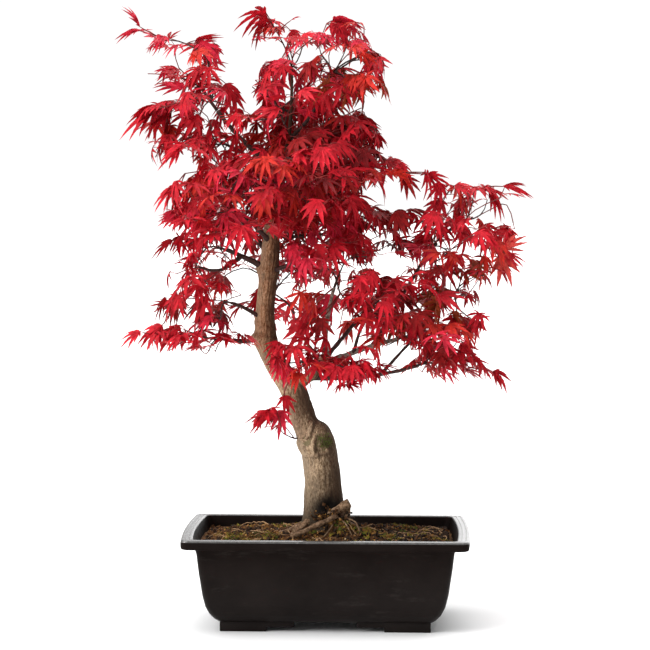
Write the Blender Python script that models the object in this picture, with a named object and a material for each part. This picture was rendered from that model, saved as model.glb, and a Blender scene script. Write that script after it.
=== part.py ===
"""Japanese maple bonsai: a slender curved trunk with layered red foliage, in a shallow plastic pot.

Units are metres, +Z is up, and the origin is the centre of the pot's footprint on the ground.
The plant is an assembly: pot, soil, trunk, surface roots, boughs, and one node for each mass of
foliage. Every mass grows from one stem by the same seeded rule, inside its own space.
"""

import math
import random

import bmesh
import bpy
import numpy as np
from mathutils import Matrix, Vector

MM = 0.001
GAP = 0.3 * MM                  # clear gap between pieces that touch

# Pot: plan half sizes at the corners; the short sides bow outwards between them.
RIM_HALF = (140.0 * MM, 100.0 * MM)
RIM_INNER_HALF = (128.6 * MM, 92.4 * MM)
WALL_HALF = (126.2 * MM, 87.0 * MM)
RIM_TOP = 94.5 * MM
RIM_UNDERSIDE = 85.0 * MM
FOOT_HEIGHT = 9.8 * MM
WALL = 2.6 * MM
SIDE_BOW = 3.5 * MM
CORNER_RADIUS = 9.0 * MM
CORNER_POINTS = 3
SIDE_POINTS = 3
# The rim's outer profile, mm: inset from its full size, height above its underside.
RIM_PROFILE = ((1.6, 0.0), (0.4, 1.0), (0.0, 8.3), (1.0, 9.5))
RIM_LIP = 0.8 * MM              # how far the rim's inner edge is rounded
FLOOR_FILLET = 2.0 * MM
# Feet: outer corner of each, and its steps as (length, depth, height of the underside).
FOOT_OUTER = (104.0 * MM, 65.0 * MM)
FOOT_STEPS = ((46.0 * MM, 20.0 * MM, 0.0), (73.0 * MM, 14.0 * MM, 4.6 * MM), (14.0 * MM, 40.0 * MM, 0.0))
FOOT_STEP_INSET = 0.25 * MM     # keeps the steps' sides off one another
DRAIN_HOLES = (60.0 * MM, 30.0 * MM)    # half spacings
DRAIN_HOLE_RADIUS = 7.0 * MM
# How far the wall has drawn in, at heights above the foot line.
WALL_TAPER = ((0.0, 20.9), (2.6, 17.4), (8.0, 12.9), (16.0, 9.0), (27.0, 6.3), (50.0, 2.9), (75.2, 0.0))

# Soil: lower against the walls, a level pad under the trunk.
SOIL_EDGE = 83.0 * MM
SOIL_PAD = 90.0 * MM
SOIL_PAD_RADIUS = 40.0 * MM
SOIL_CLEARANCE = 0.42 * MM      # from the pot's wall
SOIL_RINGS = (0.80, 0.58)       # shares of the soil's outline where its top has a ring of points

# Trunk stations, mm: height, lean in x, lean in y, radius.
TRUNK = (
    (90.3, -3.0, 0.0, 27.0), (96.0, -2.5, 0.0, 23.8), (104.0, -3.0, 0.0, 21.6), (115.0, -3.5, 0.0, 20.4),
    (127.0, -4.0, 0.0, 19.3), (144.0, -4.6, 0.0, 18.2), (160.0, -6.6, 0.0, 17.4), (172.0, -8.4, 0.0, 17.2),
    (181.0, -11.4, 0.0, 18.5), (190.0, -14.4, 0.0, 18.2), (198.0, -19.0, 0.0, 15.6), (207.0, -24.4, 0.0, 13.8),
    (218.0, -28.6, 0.0, 13.0), (231.0, -33.5, 0.5, 12.2), (246.0, -43.0, 1.0, 11.4), (264.0, -54.5, 2.0, 10.7),
    (282.0, -61.6, 3.0, 11.3), (294.0, -62.9, 3.0, 10.8), (314.0, -63.3, 2.0, 9.2), (335.0, -61.3, 1.0, 9.1),
    (354.0, -59.5, 0.0, 9.7), (375.0, -57.6, -1.0, 8.9), (398.0, -56.4, -2.0, 7.7), (425.0, -53.6, -2.0, 6.2),
    (452.0, -47.0, -1.0, 4.6), (470.0, -42.2, 0.0, 3.0), (487.0, -39.6, 0.0, 2.2), (507.0, -38.0, 0.0, 1.8),
    (530.0, -37.0, 0.0, 1.5), (553.0, -36.8, 0.0, 1.3),
)
TRUNK_SIDES = 12
FLARE_LOBES = 5                 # root buttresses round the foot
FLARE_DEPTH = 0.16              # share of the radius, at ground level
FLARE_HEIGHT = 30.0 * MM

# Surface roots, mm: name, start on the trunk (angle, height), way points along the soil, radii.
ROOTS = (
    ("root_front", (248.0, 101.0), ((-21.0, -33.0), (-37.0, -44.0)), (5.6, 2.6)),
    ("root_right", (338.0, 108.0), ((25.0, -15.0), (31.0, -20.0)), (6.6, 3.6)),
    ("root_left", (196.0, 99.0), ((-36.0, -8.0), (-47.0, -16.0)), (5.0, 2.2)),
)

# Boughs, mm: parent limb, place on it (trunk: height, bough: share of its length), tip, bow of the
# middle away from the straight line, radius at base and at tip.
BOUGHS = {
    "right_low": ("trunk", 236.0, (-2, -8, 269), (3, 0, -3), 6.2, 4.6),
    "right_rise": ("right_low", 1.0, (7, -22, 338), (-3, -2, 0), 2.9, 1.6),
    "right_reach": ("right_low", 0.78, (70, -30, 288), (3, 0, 2), 3.2, 1.9),
    "right_long": ("right_low", 0.42, (92, 8, 259), (4, 0, -5), 2.8, 1.5),
    "right_out": ("right_long", 0.62, (119, 14, 323), (-2, 4, -3), 1.6, 1.1),
    "right_dark": ("right_reach", 0.66, (99, 8, 371), (-3, 4, -5), 2.2, 1.5),
    "right_spur": ("right_reach", 0.40, (40, -40, 314), (-2, 0, -3), 1.7, 1.2),
    "left_low": ("trunk", 287.0, (-96, -10, 284), (0, 0, -2), 2.9, 2.0),
    "left_mid": ("trunk", 303.0, (-96, -18, 322), (0, 0, 2), 2.2, 1.5),
    "left_up": ("trunk", 354.0, (-102, -10, 375), (-1, 0, 2), 3.2, 1.9),
    "left_under": ("left_up", 0.62, (-122, -36, 357), (0, 0, -7), 1.8, 1.3),
    "centre_right": ("trunk", 353.0, (-27, -28, 368), (0, 0, -2), 2.4, 1.6),
    "upper_left": ("trunk", 424.0, (-98, -14, 452), (0, 0, 3), 2.6, 1.6),
    "left_arm": ("trunk", 440.0, (-100, 14, 479), (0, 0, 4), 2.6, 1.6),
    "top_left": ("trunk", 455.0, (-111, -6, 514), (-2, 0, -5), 2.8, 1.8),
    "top_right": ("trunk", 486.0, (0, -4, 545), (3, 0, -5), 1.9, 1.4),
    "right_high": ("trunk", 414.0, (10, -8, 440), (0, 0, -3), 2.8, 1.7),
    "back_low": ("trunk", 299.0, (-58, 66, 326), (0, 0, 3), 2.6, 1.7),
    "back_mid": ("trunk", 368.0, (-92, 64, 398), (0, 0, 3), 2.6, 1.7),
    "back_right": ("right_low", 0.70, (44, 62, 318), (-4, 4, -4), 2.6, 1.7),
    "front_low": ("right_low", 0.60, (-14, -44, 264), (0, 0, -3), 2.0, 1.4),
    "front_left": ("trunk", 381.0, (-88, -58, 412), (0, 0, 3), 2.6, 1.7),
    "dead_stub": ("right_low", 0.80, (-33, -17, 300), (0, 0, 1), 2.0, 1.3),
}
OLD_WOOD = ("right_low", "dead_stub")    # boughs with the trunk's bark
BOUGH_SEGMENTS = 4
ROOT_SEGMENTS = 6
ROOT_ARCH = 1.5 * MM            # how far a surface root's middle stands up

# Foliage masses, mm: limb, place (None: its tip, else a height on the trunk), tip of the leading
# leaf, half width across, half height of the spread of twigs, leaf-bearing twig ends.
MASSES = {
    "top_left_leaves": ("top_left", None, (-200, -10, 622), 30, 26, 6),
    "leader_leaves": ("trunk", 553.0, (-62, -10, 621), 36, 22, 5),
    "top_right_leaves": ("top_right", None, (74, -10, 594), 44, 36, 8),
    "leader_left_leaves": ("trunk", 514.0, (-100, -30, 568), 42, 36, 6),
    "left_arm_leaves": ("left_arm", None, (-213, 26, 508), 36, 24, 6),
    "upper_left_leaves": ("upper_left", None, (-178, -24, 450), 40, 32, 6),
    "left_up_leaves": ("left_up", None, (-176, 0, 392), 34, 24, 6),
    "left_under_leaves": ("left_under", None, (-168, -74, 348), 28, 13, 3),
    "left_mid_leaves": ("left_mid", None, (-178, -14, 330), 28, 18, 4),
    "left_low_leaves": ("left_low", None, (-208, -16, 290), 26, 11, 4),
    "centre_right_leaves": ("centre_right", None, (24, -80, 392), 38, 32, 7),
    "right_rise_leaves": ("right_rise", None, (38, -10, 414), 38, 32, 6),
    "front_low_leaves": ("front_low", None, (10, -112, 270), 42, 12, 4),
    "right_spur_leaves": ("right_spur", None, (58, -104, 340), 32, 20, 4),
    "right_reach_leaves": ("right_reach", None, (156, -52, 312), 36, 21, 5),
    "right_long_leaves": ("right_long", None, (188, 14, 254), 26, 12, 4),
    "right_out_leaves": ("right_out", None, (206, 32, 386), 34, 26, 6),
    "right_dark_leaves": ("right_dark", None, (211, 16, 446), 34, 30, 7),
    "right_high_leaves": ("right_high", None, (98, -24, 462), 36, 28, 6),
    "shoulder_leaves": ("trunk", 474.0, (72, 24, 520), 44, 34, 7),
    "mid_right_leaves": ("trunk", 388.0, (108, 52, 416), 34, 26, 6),
    "front_left_leaves": ("front_left", None, (-110, -148, 428), 40, 24, 4),
    "front_right_leaves": ("trunk", 432.0, (8, -148, 452), 40, 28, 5),
    "back_low_leaves": ("back_low", None, (-62, 148, 340), 42, 20, 3),
    "back_mid_leaves": ("back_mid", None, (-116, 146, 420), 40, 24, 3),
    "back_high_leaves": ("trunk", 446.0, (-12, 146, 486), 44, 34, 6),
    "back_right_leaves": ("back_right", None, (82, 140, 344), 40, 20, 3),
    "sucker_leaves": ("trunk", 193.0, (-84, -20, 226), 18, 9, 2),
}
CROWN_HALF = (213.0, 150.0)     # no leaf stands outside these half sizes in plan
CROWN_TOP = 622.0
CROWN_MIDDLE = (-20.0 * MM, 0.0, 420.0 * MM)     # leaves turn their tips away from it
STANDOFF_ACROSS = 40.0          # leaves may stand this far outside the spread of the twigs
STANDOFF_ABOVE = 20.0
STANDOFF_BELOW = 24.0

# Leaf: a hand of five lobes round a palm, on a tapering stalk.
LEAF_STALK = 13.0 * MM
LEAF_NECK = (10.0 * MM, 0.9 * MM)       # where the stalk meets the blade: distance, half width
LEAF_LOBES = ((0.0, 44.0), (45.0, 41.0), (98.0, 31.0))       # angle from the middle lobe, length mm
LEAF_NOTCH = 17.0 * MM
LEAF_HALF_THICKNESS = 0.7 * MM
LEAF_DROOP = 0.16               # drop of a lobe's tip, as a share of its length
LEAF_HANG = (12.0, 66.0)        # degrees below the level that a leaf hangs
LEAF_TURN = 48.0                # most that a leaf turns about its own stalk, degrees
LEAF_SPREAD = 72.0              # degrees between a leaf of a pair and its twig
LEAF_APART = 2.5 * MM           # least distance between two leaves, away from their roots
LEAF_TRIES = 36
LEAF_SHRINK = 0.010             # share by which each further try is smaller
LEAF_SAMPLES = 8
LEAD_FIT = 0.985                # size of a leading leaf, as a share of what reaches the tip
LEAD_LEAN = 80.0                # degrees that a leading leaf turns its face aside as it stands up
LEAF_CLEARANCE = 3.0 * MM       # between a leaf and any limb
LEAF_ROOT = 2.0 * MM            # length of stalk sunk in the twig
LEAF_ROOT_ZONE = 10.0 * MM      # round a leaf's root, where it may be near its twig and its pair
LEAF_REACH = LEAF_STALK + LEAF_LOBES[0][1] * MM - LEAF_ROOT

TWIG_SIDES = 3
TWIG_TIP_RADIUS = 0.75 * MM
TWIG_GROWTH = 0.42              # radius grows with the number of ends carried, to this power
TWIG_CLEARANCE = 1.2 * MM
TWIG_MARGIN = 1.5 * MM          # between a twig and the edge of its mass's space
LEAST_TWIG = 6.0 * MM
OWN_LIMB_ZONE = 9.0 * MM        # a stem may be this near the limb that it grows from
STEM_SHARE = 0.30               # length of a mass's stem, as a share of its spread
PATH_COST = 0.35                # how strongly a new twig prefers to leave low on the stem
GOAL_DRAWS = 24                 # draws from which each twig's end is the best
GOAL_BACK = -0.45               # twigs end no nearer the stem's foot than this share of the spread
GOAL_MARGIN = 4.0 * MM
SEED = 28


# ---------------------------------------------------------------- scene and mesh helpers

def clear_scene():
    for item in list(bpy.data.objects):
        bpy.data.objects.remove(item, do_unlink=True)


def collection(name):
    made = bpy.data.collections.new(name)
    bpy.context.scene.collection.children.link(made)
    return made


def material(name, colour, roughness):
    made = bpy.data.materials.new(name)
    made.use_nodes = True
    shader = made.node_tree.nodes["Principled BSDF"]
    shader.inputs["Base Color"].default_value = (*colour, 1.0)
    shader.inputs["Roughness"].default_value = roughness
    shader.inputs["Metallic"].default_value = 0.0
    made.diffuse_color = (*colour, 1.0)
    return made


def add_object(name, mesh, group, finish=None):
    item = bpy.data.objects.new(name, mesh)
    group.objects.link(item)
    if finish:
        mesh.materials.clear()
        mesh.materials.append(finish)
    return item


def mesh_from_rings(name, rings):
    """Closed skin over rings of equal point count, with a flat cap at each end."""
    shape = bmesh.new()
    levels = [[shape.verts.new(point) for point in ring] for ring in rings]
    count = len(levels[0])
    for lower, upper in zip(levels, levels[1:]):
        for k in range(count):
            n = (k + 1) % count
            shape.faces.new((lower[k], lower[n], upper[n], upper[k]))
    shape.faces.new(list(reversed(levels[0])))
    shape.faces.new(levels[-1])
    bmesh.ops.recalc_face_normals(shape, faces=shape.faces)
    mesh = bpy.data.meshes.new(name)
    shape.to_mesh(mesh)
    shape.free()
    return mesh


def smooth(mesh, angle=40.0):
    mesh.shade_smooth()
    mesh.set_sharp_from_angle(angle=math.radians(angle))


def applied_boolean(target, operation, group=None, cutter=None, solver="EXACT"):
    """Mesh of target after one Boolean with an object or with a whole collection."""
    step = target.modifiers.new("boolean", "BOOLEAN")
    step.operation = operation
    step.solver = solver
    if group:
        step.operand_type = "COLLECTION"
        step.collection = group
    else:
        step.object = cutter
    bpy.context.view_layer.update()
    view = bpy.context.evaluated_depsgraph_get()
    mesh = bpy.data.meshes.new_from_object(target.evaluated_get(view))
    target.modifiers.clear()
    return mesh


def shell_volume(faces):
    total = 0.0
    for face in faces:
        points = [vert.co for vert in face.verts]
        for k in range(1, len(points) - 1):
            total += points[0].dot(points[k].cross(points[k + 1])) / 6.0
    return total


def keep_main_shell(mesh):
    """Keep the largest outward-facing shell: drops loose scraps and fills sealed hollows."""
    shape = bmesh.new()
    shape.from_mesh(mesh)
    unseen = set(shape.faces)
    shells = []
    while unseen:
        front = [unseen.pop()]
        shell = []
        while front:
            face = front.pop()
            shell.append(face)
            for edge in face.edges:
                for other in edge.link_faces:
                    if other in unseen:
                        unseen.remove(other)
                        front.append(other)
        shells.append(shell)
    shells.sort(key=shell_volume, reverse=True)
    spare = [face for shell in shells[1:] for face in shell]
    if spare:
        bmesh.ops.delete(shape, geom=spare, context="FACES")
    shape.to_mesh(mesh)
    shape.free()
    return mesh


# ---------------------------------------------------------------- pot and soil

def plan_ring(half, height):
    """Plan outline: round corners, straight long sides, short sides bowed outwards."""
    half_x, half_y = half
    radius = min(CORNER_RADIUS, half_y * 0.4)
    ring = []
    for corner, (sx, sy) in enumerate(((1, 1), (-1, 1), (-1, -1), (1, -1))):
        start = corner * math.pi / 2
        for k in range(CORNER_POINTS):
            angle = start + k / (CORNER_POINTS - 1) * math.pi / 2
            ring.append((sx * (half_x - radius) + radius * math.cos(angle),
                         sy * (half_y - radius) + radius * math.sin(angle)))
        if sx == -1 and sy == 1 or sx == 1 and sy == -1:
            end_y = sy * (half_y - radius)
            for k in range(1, SIDE_POINTS + 1):
                ring.append((sx * half_x, end_y * (1 - 2 * k / (SIDE_POINTS + 1))))
    bowed = []
    for x, y in ring:
        share = max(0.0, 1.0 - (y / half_y) ** 2)
        bowed.append(Vector((x + math.copysign(SIDE_BOW * share, x) * (abs(x) / half_x) ** 8, y, height)))
    return bowed


def wall_half(height, inset=0.0):
    """Half sizes of the wall's outside at a height above the ground, less an inset."""
    above = (height - FOOT_HEIGHT) / MM
    for (low, draw_low), (high, draw_high) in zip(WALL_TAPER, WALL_TAPER[1:]):
        if above <= high:
            share = max(0.0, (above - low) / (high - low))
            drawn = (draw_low + (draw_high - draw_low) * share) * MM
            return WALL_HALF[0] - drawn - inset, WALL_HALF[1] - drawn - inset
    return WALL_HALF[0] - inset, WALL_HALF[1] - inset


def shrunk(half, amount):
    return half[0] - amount, half[1] - amount


def pot_shell():
    levels = [FOOT_HEIGHT + above * MM for above, _ in WALL_TAPER]
    floor = FOOT_HEIGHT + WALL
    rings = [plan_ring(wall_half(level), level) for level in levels]
    rings += [plan_ring(shrunk(RIM_HALF, inset * MM), RIM_UNDERSIDE + above * MM)
              for inset, above in RIM_PROFILE]
    rings += [
        plan_ring(RIM_INNER_HALF, RIM_TOP),
        plan_ring(shrunk(RIM_INNER_HALF, RIM_LIP), RIM_TOP - RIM_LIP),
        plan_ring(wall_half(RIM_UNDERSIDE, WALL), RIM_UNDERSIDE + 1.0 * MM),
    ]
    inside = [level for level in levels[:-1] if level > floor + 1.0 * MM]
    rings += [plan_ring(wall_half(level, WALL), level) for level in reversed(inside)]
    rings.append(plan_ring(wall_half(floor, WALL + FLOOR_FILLET), floor))
    return mesh_from_rings("pot", rings)


def box_mesh(name, low, high):
    shape = bmesh.new()
    bmesh.ops.create_cube(shape, size=1.0)
    size = Vector(high) - Vector(low)
    middle = (Vector(high) + Vector(low)) / 2
    bmesh.ops.transform(shape, matrix=Matrix.LocRotScale(middle, None, size), verts=shape.verts)
    mesh = bpy.data.meshes.new(name)
    shape.to_mesh(mesh)
    shape.free()
    return mesh


def build_pot(parts, finish):
    """Shell with a flanged rim, four stepped corner feet and four drain holes."""
    feet = collection("pot_feet")
    sunk = FOOT_HEIGHT + WALL * 0.5
    for sx in (-1, 1):
        for sy in (-1, 1):
            for number, (long, deep, under) in enumerate(FOOT_STEPS):
                inset = FOOT_STEP_INSET * number
                xs = sorted((sx * (FOOT_OUTER[0] - inset), sx * (FOOT_OUTER[0] - long)))
                ys = sorted((sy * (FOOT_OUTER[1] - inset), sy * (FOOT_OUTER[1] - deep)))
                name = f"foot_{sx}_{sy}_{number}"
                mesh = box_mesh(name, (xs[0], ys[0], under), (xs[1], ys[1], sunk - inset))
                add_object(name, mesh, feet)
    pot = add_object("pot", pot_shell(), parts, finish)
    pot.data = applied_boolean(pot, "UNION", group=feet)
    holes = []
    for sx in (-1, 1):
        for sy in (-1, 1):
            bpy.ops.mesh.primitive_cylinder_add(
                vertices=12, radius=DRAIN_HOLE_RADIUS, depth=2 * FOOT_HEIGHT,
                location=(sx * DRAIN_HOLES[0], sy * DRAIN_HOLES[1], FOOT_HEIGHT))
            hole = bpy.context.object
            holes.append(hole)
            pot.data = applied_boolean(pot, "DIFFERENCE", cutter=hole)
    for item in holes + list(feet.objects):
        bpy.data.objects.remove(item, do_unlink=True)
    bpy.data.collections.remove(feet)
    smooth(pot.data, 30.0)


def soil_height(x, y):
    """Top of the soil: a level pad round the trunk, falling gently to the walls."""
    outward = max(0.0, math.hypot(x, y * 1.4) - SOIL_PAD_RADIUS) / (RIM_HALF[0] - SOIL_PAD_RADIUS)
    return SOIL_PAD + (SOIL_EDGE - SOIL_PAD) * min(1.0, outward) ** 1.2


def soil_rings(lift=0.0):
    levels = [FOOT_HEIGHT + above * MM for above, _ in WALL_TAPER[2:-1]]
    floor = FOOT_HEIGHT + WALL + GAP
    inset = WALL + SOIL_CLEARANCE
    rings = [plan_ring(wall_half(floor, inset + FLOOR_FILLET), floor)]
    rings += [plan_ring(wall_half(level, inset), level) for level in levels]
    edge = [Vector((p.x, p.y, SOIL_EDGE + lift)) for p in plan_ring(wall_half(SOIL_EDGE, inset), 0)]
    rings.append(edge)
    for share in SOIL_RINGS:
        rings.append([Vector((p.x * share, p.y * share, soil_height(p.x * share, p.y * share) + lift))
                      for p in edge])
    rings.append([Vector((p.x, p.y, 0)).normalized() * SOIL_PAD_RADIUS * 0.9 + Vector((0, 0, SOIL_PAD + lift))
                  for p in edge])
    return rings


# ---------------------------------------------------------------- limbs

class Limb:
    """A tapering limb as points along its middle, each with a radius."""

    def __init__(self, points, radii):
        self.points = points
        self.radii = radii

    def at(self, share):
        place = min(max(share, 0.0), 1.0) * (len(self.points) - 1)
        k = min(int(place), len(self.points) - 2)
        part = place - k
        point = self.points[k].lerp(self.points[k + 1], part)
        radius = self.radii[k] + (self.radii[k + 1] - self.radii[k]) * part
        return point, (self.points[k + 1] - self.points[k]).normalized(), radius

    def samples(self, step=3.0 * MM):
        length = sum((b - a).length for a, b in zip(self.points, self.points[1:]))
        count = max(2, int(length / step))
        found = [self.at(k / count) for k in range(count + 1)]
        return [(point, radius) for point, _, radius in found]


def trunk_limb():
    points = [Vector((x, y, z)) * MM for z, x, y, _ in TRUNK]
    return Limb(points, [radius * MM for *_, radius in TRUNK])


def trunk_share(height):
    """Share of the trunk's stations at a height in mm."""
    for k, ((low, *_), (high, *_)) in enumerate(zip(TRUNK, TRUNK[1:])):
        if height <= high:
            return (k + (height - low) / (high - low)) / (len(TRUNK) - 1)
    return 1.0


def trunk_rings(limb, swell=0.0):
    """Sections square to the trunk's path, with root buttresses that fade up the foot."""
    rings = []
    last = len(limb.points) - 1
    for k, (point, radius) in enumerate(zip(limb.points, limb.radii)):
        along = (limb.points[min(k + 1, last)] - limb.points[max(k - 1, 0)]).normalized()
        if k == 0:
            along = Vector((0, 0, 1))
        side = along.cross(Vector((0, 1, 0))).normalized() * -1
        fore = along.cross(side)
        fade = max(0.0, 1.0 - (point.z - limb.points[0].z) / FLARE_HEIGHT) ** 1.5
        ring = []
        for n in range(TRUNK_SIDES):
            angle = 2 * math.pi * n / TRUNK_SIDES
            lobe = 1.0 + FLARE_DEPTH * fade * math.cos(FLARE_LOBES * angle + 0.9)
            ring.append(point + (side * math.cos(angle) + fore * math.sin(angle)) * (radius * lobe + swell))
        rings.append(ring)
    return rings


def curved(start, middle_bow, tip, count):
    """Points of a simple curve from start to tip whose middle stands off by the bow."""
    middle = (start + tip) / 2 + middle_bow
    control = middle * 2 - (start + tip) / 2
    points = []
    for k in range(count + 1):
        t = k / count
        points.append(start * (1 - t) ** 2 + control * 2 * t * (1 - t) + tip * t ** 2)
    return points


def limb_mesh(name, limb, swell=0.0):
    """A bevelled curve through the limb's points, made a closed mesh."""
    wire = bpy.data.curves.new(name, "CURVE")
    wire.dimensions = "3D"
    wire.bevel_depth = 1.0
    wire.bevel_resolution = 1
    wire.use_fill_caps = True
    spline = wire.splines.new("POLY")
    spline.points.add(len(limb.points) - 1)
    for knot, point, radius in zip(spline.points, limb.points, limb.radii):
        knot.co = (*point, 1.0)
        knot.radius = radius + swell
    item = bpy.data.objects.new(name, wire)
    bpy.context.scene.collection.objects.link(item)
    bpy.context.view_layer.update()
    mesh = bpy.data.meshes.new_from_object(item.evaluated_get(bpy.context.evaluated_depsgraph_get()))
    bpy.data.objects.remove(item, do_unlink=True)
    shape = bmesh.new()
    shape.from_mesh(mesh)
    bmesh.ops.remove_doubles(shape, verts=shape.verts, dist=1e-6)
    bmesh.ops.recalc_face_normals(shape, faces=shape.faces)
    shape.to_mesh(mesh)
    shape.free()
    return mesh


def bough_limbs(trunk):
    """Every bough's path, found in the order that a parent comes before its children."""
    limbs = {"trunk": trunk}
    for name, (parent, place, tip, bow, thick, thin) in BOUGHS.items():
        share = trunk_share(place) if parent == "trunk" else place
        start, _, _ = limbs[parent].at(share)
        points = curved(start, Vector(bow) * MM, Vector(tip) * MM, BOUGH_SEGMENTS)
        radii = [(thick + (thin - thick) * k / BOUGH_SEGMENTS) * MM for k in range(BOUGH_SEGMENTS + 1)]
        limbs[name] = Limb(points, radii)
    return limbs


def root_limbs(trunk):
    limbs = {}
    for name, (angle, height), ground, (thick, thin) in ROOTS:
        centre, _, radius = trunk.at(trunk_share(height))
        turn = math.radians(angle)
        start = centre + Vector((math.cos(turn), math.sin(turn), 0)) * radius * 0.7
        points = [start]
        for x, y in ground:
            x, y = x * MM, y * MM
            points.append(Vector((x, y, soil_height(x, y) + thin * 0.45 * MM)))
        bow = points[1] - (points[0] + points[2]) / 2 + Vector((0, 0, ROOT_ARCH))
        bend = curved(points[0], bow, points[2], ROOT_SEGMENTS)
        radii = [(thick + (thin - thick) * k / ROOT_SEGMENTS) * MM for k in range(ROOT_SEGMENTS + 1)]
        limbs[name] = Limb(bend, radii)
    return limbs


# ---------------------------------------------------------------- foliage

class Mass:
    """One mass of foliage: a stem, the spread its twigs fill, and the faces of its own space."""

    def __init__(self, name, limbs):
        limb_name, height, tip, wide, tall, ends = MASSES[name]
        limb = limbs[limb_name]
        self.name = name
        self.tip = Vector(tip) * MM
        self.ends = ends
        if height is None or height >= TRUNK[-1][0]:
            point, self.heading, self.base_radius = limb.at(1.0)
            self.start = point + self.heading * GAP
        else:
            point, along, radius = limb.at(trunk_share(height))
            away = self.tip - point
            self.heading = (away - along * away.dot(along)).normalized()
            self.start = point + self.heading * (radius + GAP)
            self.base_radius = min(radius * 0.5, 2.2 * MM)
        self.forward = (self.tip - self.start).normalized()
        self.lead_scale = min(1.0, (self.tip - self.start).length / (2.0 * LEAF_REACH))
        self.end = self.tip - self.forward * LEAF_REACH * self.lead_scale
        axis = self.end - self.start
        self.across = self.forward.cross(Vector((0, 0, 1))).normalized()
        self.upward = self.across.cross(self.forward)
        self.middle = (self.start + self.end) / 2
        self.half = (axis.length / 2, wide * MM, tall * MM)
        self.walls = []
        self.add_wall(self.forward, self.tip, 0.5)
        for sign in (-1, 1):
            self.add_wall(self.across * sign, self.middle, wide + STANDOFF_ACROSS)
            self.add_wall(Vector((sign, 0, 0)), Vector(), CROWN_HALF[0])
            self.add_wall(Vector((0, sign, 0)), Vector(), CROWN_HALF[1])
        self.add_wall(self.upward, self.middle, tall + STANDOFF_ABOVE)
        self.add_wall(-self.upward, self.middle, tall + STANDOFF_BELOW)
        self.add_wall(Vector((0, 0, 1)), Vector(), CROWN_TOP)

    def add_wall(self, normal, point, distance):
        """A flat face of the space, square to normal and some mm beyond the point."""
        self.walls.append((normal, point.dot(normal) + distance * MM))

    def point(self, u, v, w):
        return (self.middle + self.forward * (u * self.half[0]) + self.across * (v * self.half[1])
                + self.upward * (w * self.half[2]))

    def inside(self, point, margin=0.0):
        return all(point.dot(normal) <= limit - margin for normal, limit in self.walls)


def nearest_on_segments(a, b, c, d):
    """Nearest points of two segments, by sampling one and projecting on the other."""
    best = None
    for k in range(41):
        p = a.lerp(b, k / 40)
        share = max(0.0, min(1.0, (p - c).dot(d - c) / (d - c).length_squared))
        q = c.lerp(d, share)
        if best is None or (p - q).length < best[0]:
            best = ((p - q).length, p, q)
    return best


def divide_space(masses):
    """Part each pair of masses by a plane, so that each one's space is its own."""
    for k, one in enumerate(masses):
        for other in masses[k + 1:]:
            distance, p, q = nearest_on_segments(one.start, one.end, other.start, other.end)
            normal = (q - p).normalized()
            mine = (one.half[1] + one.half[2]) / 2
            theirs = (other.half[1] + other.half[2]) / 2
            limit = p.dot(normal) + distance * mine / (mine + theirs)
            one.walls.append((normal, limit - GAP))
            other.walls.append((-normal, -limit - GAP))


def clear_of(points, centres, reach):
    """True where every point is further from each centre than that centre's reach."""
    apart = np.array(points)[:, None, :] - centres[None, :, :]
    return bool((np.einsum("ijk,ijk->ij", apart, apart) > np.square(reach)[None, :]).all())


def twig_goals(mass, rng):
    """Evenly scattered twig ends: each is the best of several draws, the first is the far end."""
    goals = [mass.end]
    while len(goals) < mass.ends:
        best = None
        for _ in range(GOAL_DRAWS):
            while True:
                u, v, w = (rng.uniform(-1, 1) for _ in range(3))
                if u * u + v * v + w * w <= 1.0:
                    break
            goal = mass.point(max(u, GOAL_BACK), v, w)
            room = min((goal - other).length for other in goals)
            if mass.inside(goal, GOAL_MARGIN) and (best is None or room > best[0]):
                best = (room, goal)
        if best is None:
            break
        goals.append(best[1])
    return sorted(goals, key=lambda goal: (goal - mass.start).length)


def grow(mass, obstacles, rng):
    """Branches as node lists: a stem, then a twig to each goal from the cheapest place to leave."""
    reach = (mass.end - mass.start).length * STEM_SHARE
    bend = mass.start + mass.heading * reach * 0.5
    stem_end = mass.start + (mass.heading + mass.forward).normalized() * reach
    nodes = [{"at": mass.start, "along": mass.heading, "path": 0.0, "from": None}]
    branches = [[0]]
    for k in (1, 2):
        t = k / 2
        point = mass.start * (1 - t) ** 2 + bend * 2 * t * (1 - t) + stem_end * t * t
        along = (point - nodes[-1]["at"]).normalized()
        nodes.append({"at": point, "along": along, "path": reach * t, "from": k - 1})
        branches[0].append(k)
    centres, radii = obstacles
    far = np.linalg.norm(centres - np.array(mass.start), axis=1) > OWN_LIMB_ZONE
    centres, reach = centres[far], radii[far] + TWIG_CLEARANCE + TWIG_TIP_RADIUS
    for goal in twig_goals(mass, rng):
        choices = []
        for index, node in enumerate(nodes[1:], 1):
            way = goal - node["at"]
            if way.length > LEAST_TWIG and way.normalized().dot(node["along"]) > -0.1:
                choices.append((way.length + PATH_COST * node["path"], index))
        for _, index in sorted(choices):
            node = nodes[index]
            length = (goal - node["at"]).length
            control = node["at"] + node["along"] * length * 0.3
            path = [node["at"] * (1 - t) ** 2 + control * 2 * t * (1 - t) + goal * t * t
                    for t in (0.25, 0.5, 0.75, 1.0)]
            if not all(mass.inside(point, TWIG_MARGIN) for point in path):
                continue
            if not clear_of(path, centres, reach):
                continue
            branch = [index]
            for point in (path[1], path[3]):
                before = nodes[branch[-1]]
                nodes.append({"at": point, "along": (point - before["at"]).normalized(),
                              "path": before["path"] + (point - before["at"]).length, "from": branch[-1]})
                branch.append(len(nodes) - 1)
            branches.append(branch)
            break
    return nodes, branches


def node_radii(nodes, branches, limit):
    """Thicker where more ends are carried."""
    carried = [0] * len(nodes)
    for branch in branches:
        index = branch[-1]
        while index is not None:
            carried[index] += 1
            index = nodes[index]["from"]
    return [min(limit, TWIG_TIP_RADIUS * max(1, count) ** TWIG_GROWTH) for count in carried]


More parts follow.
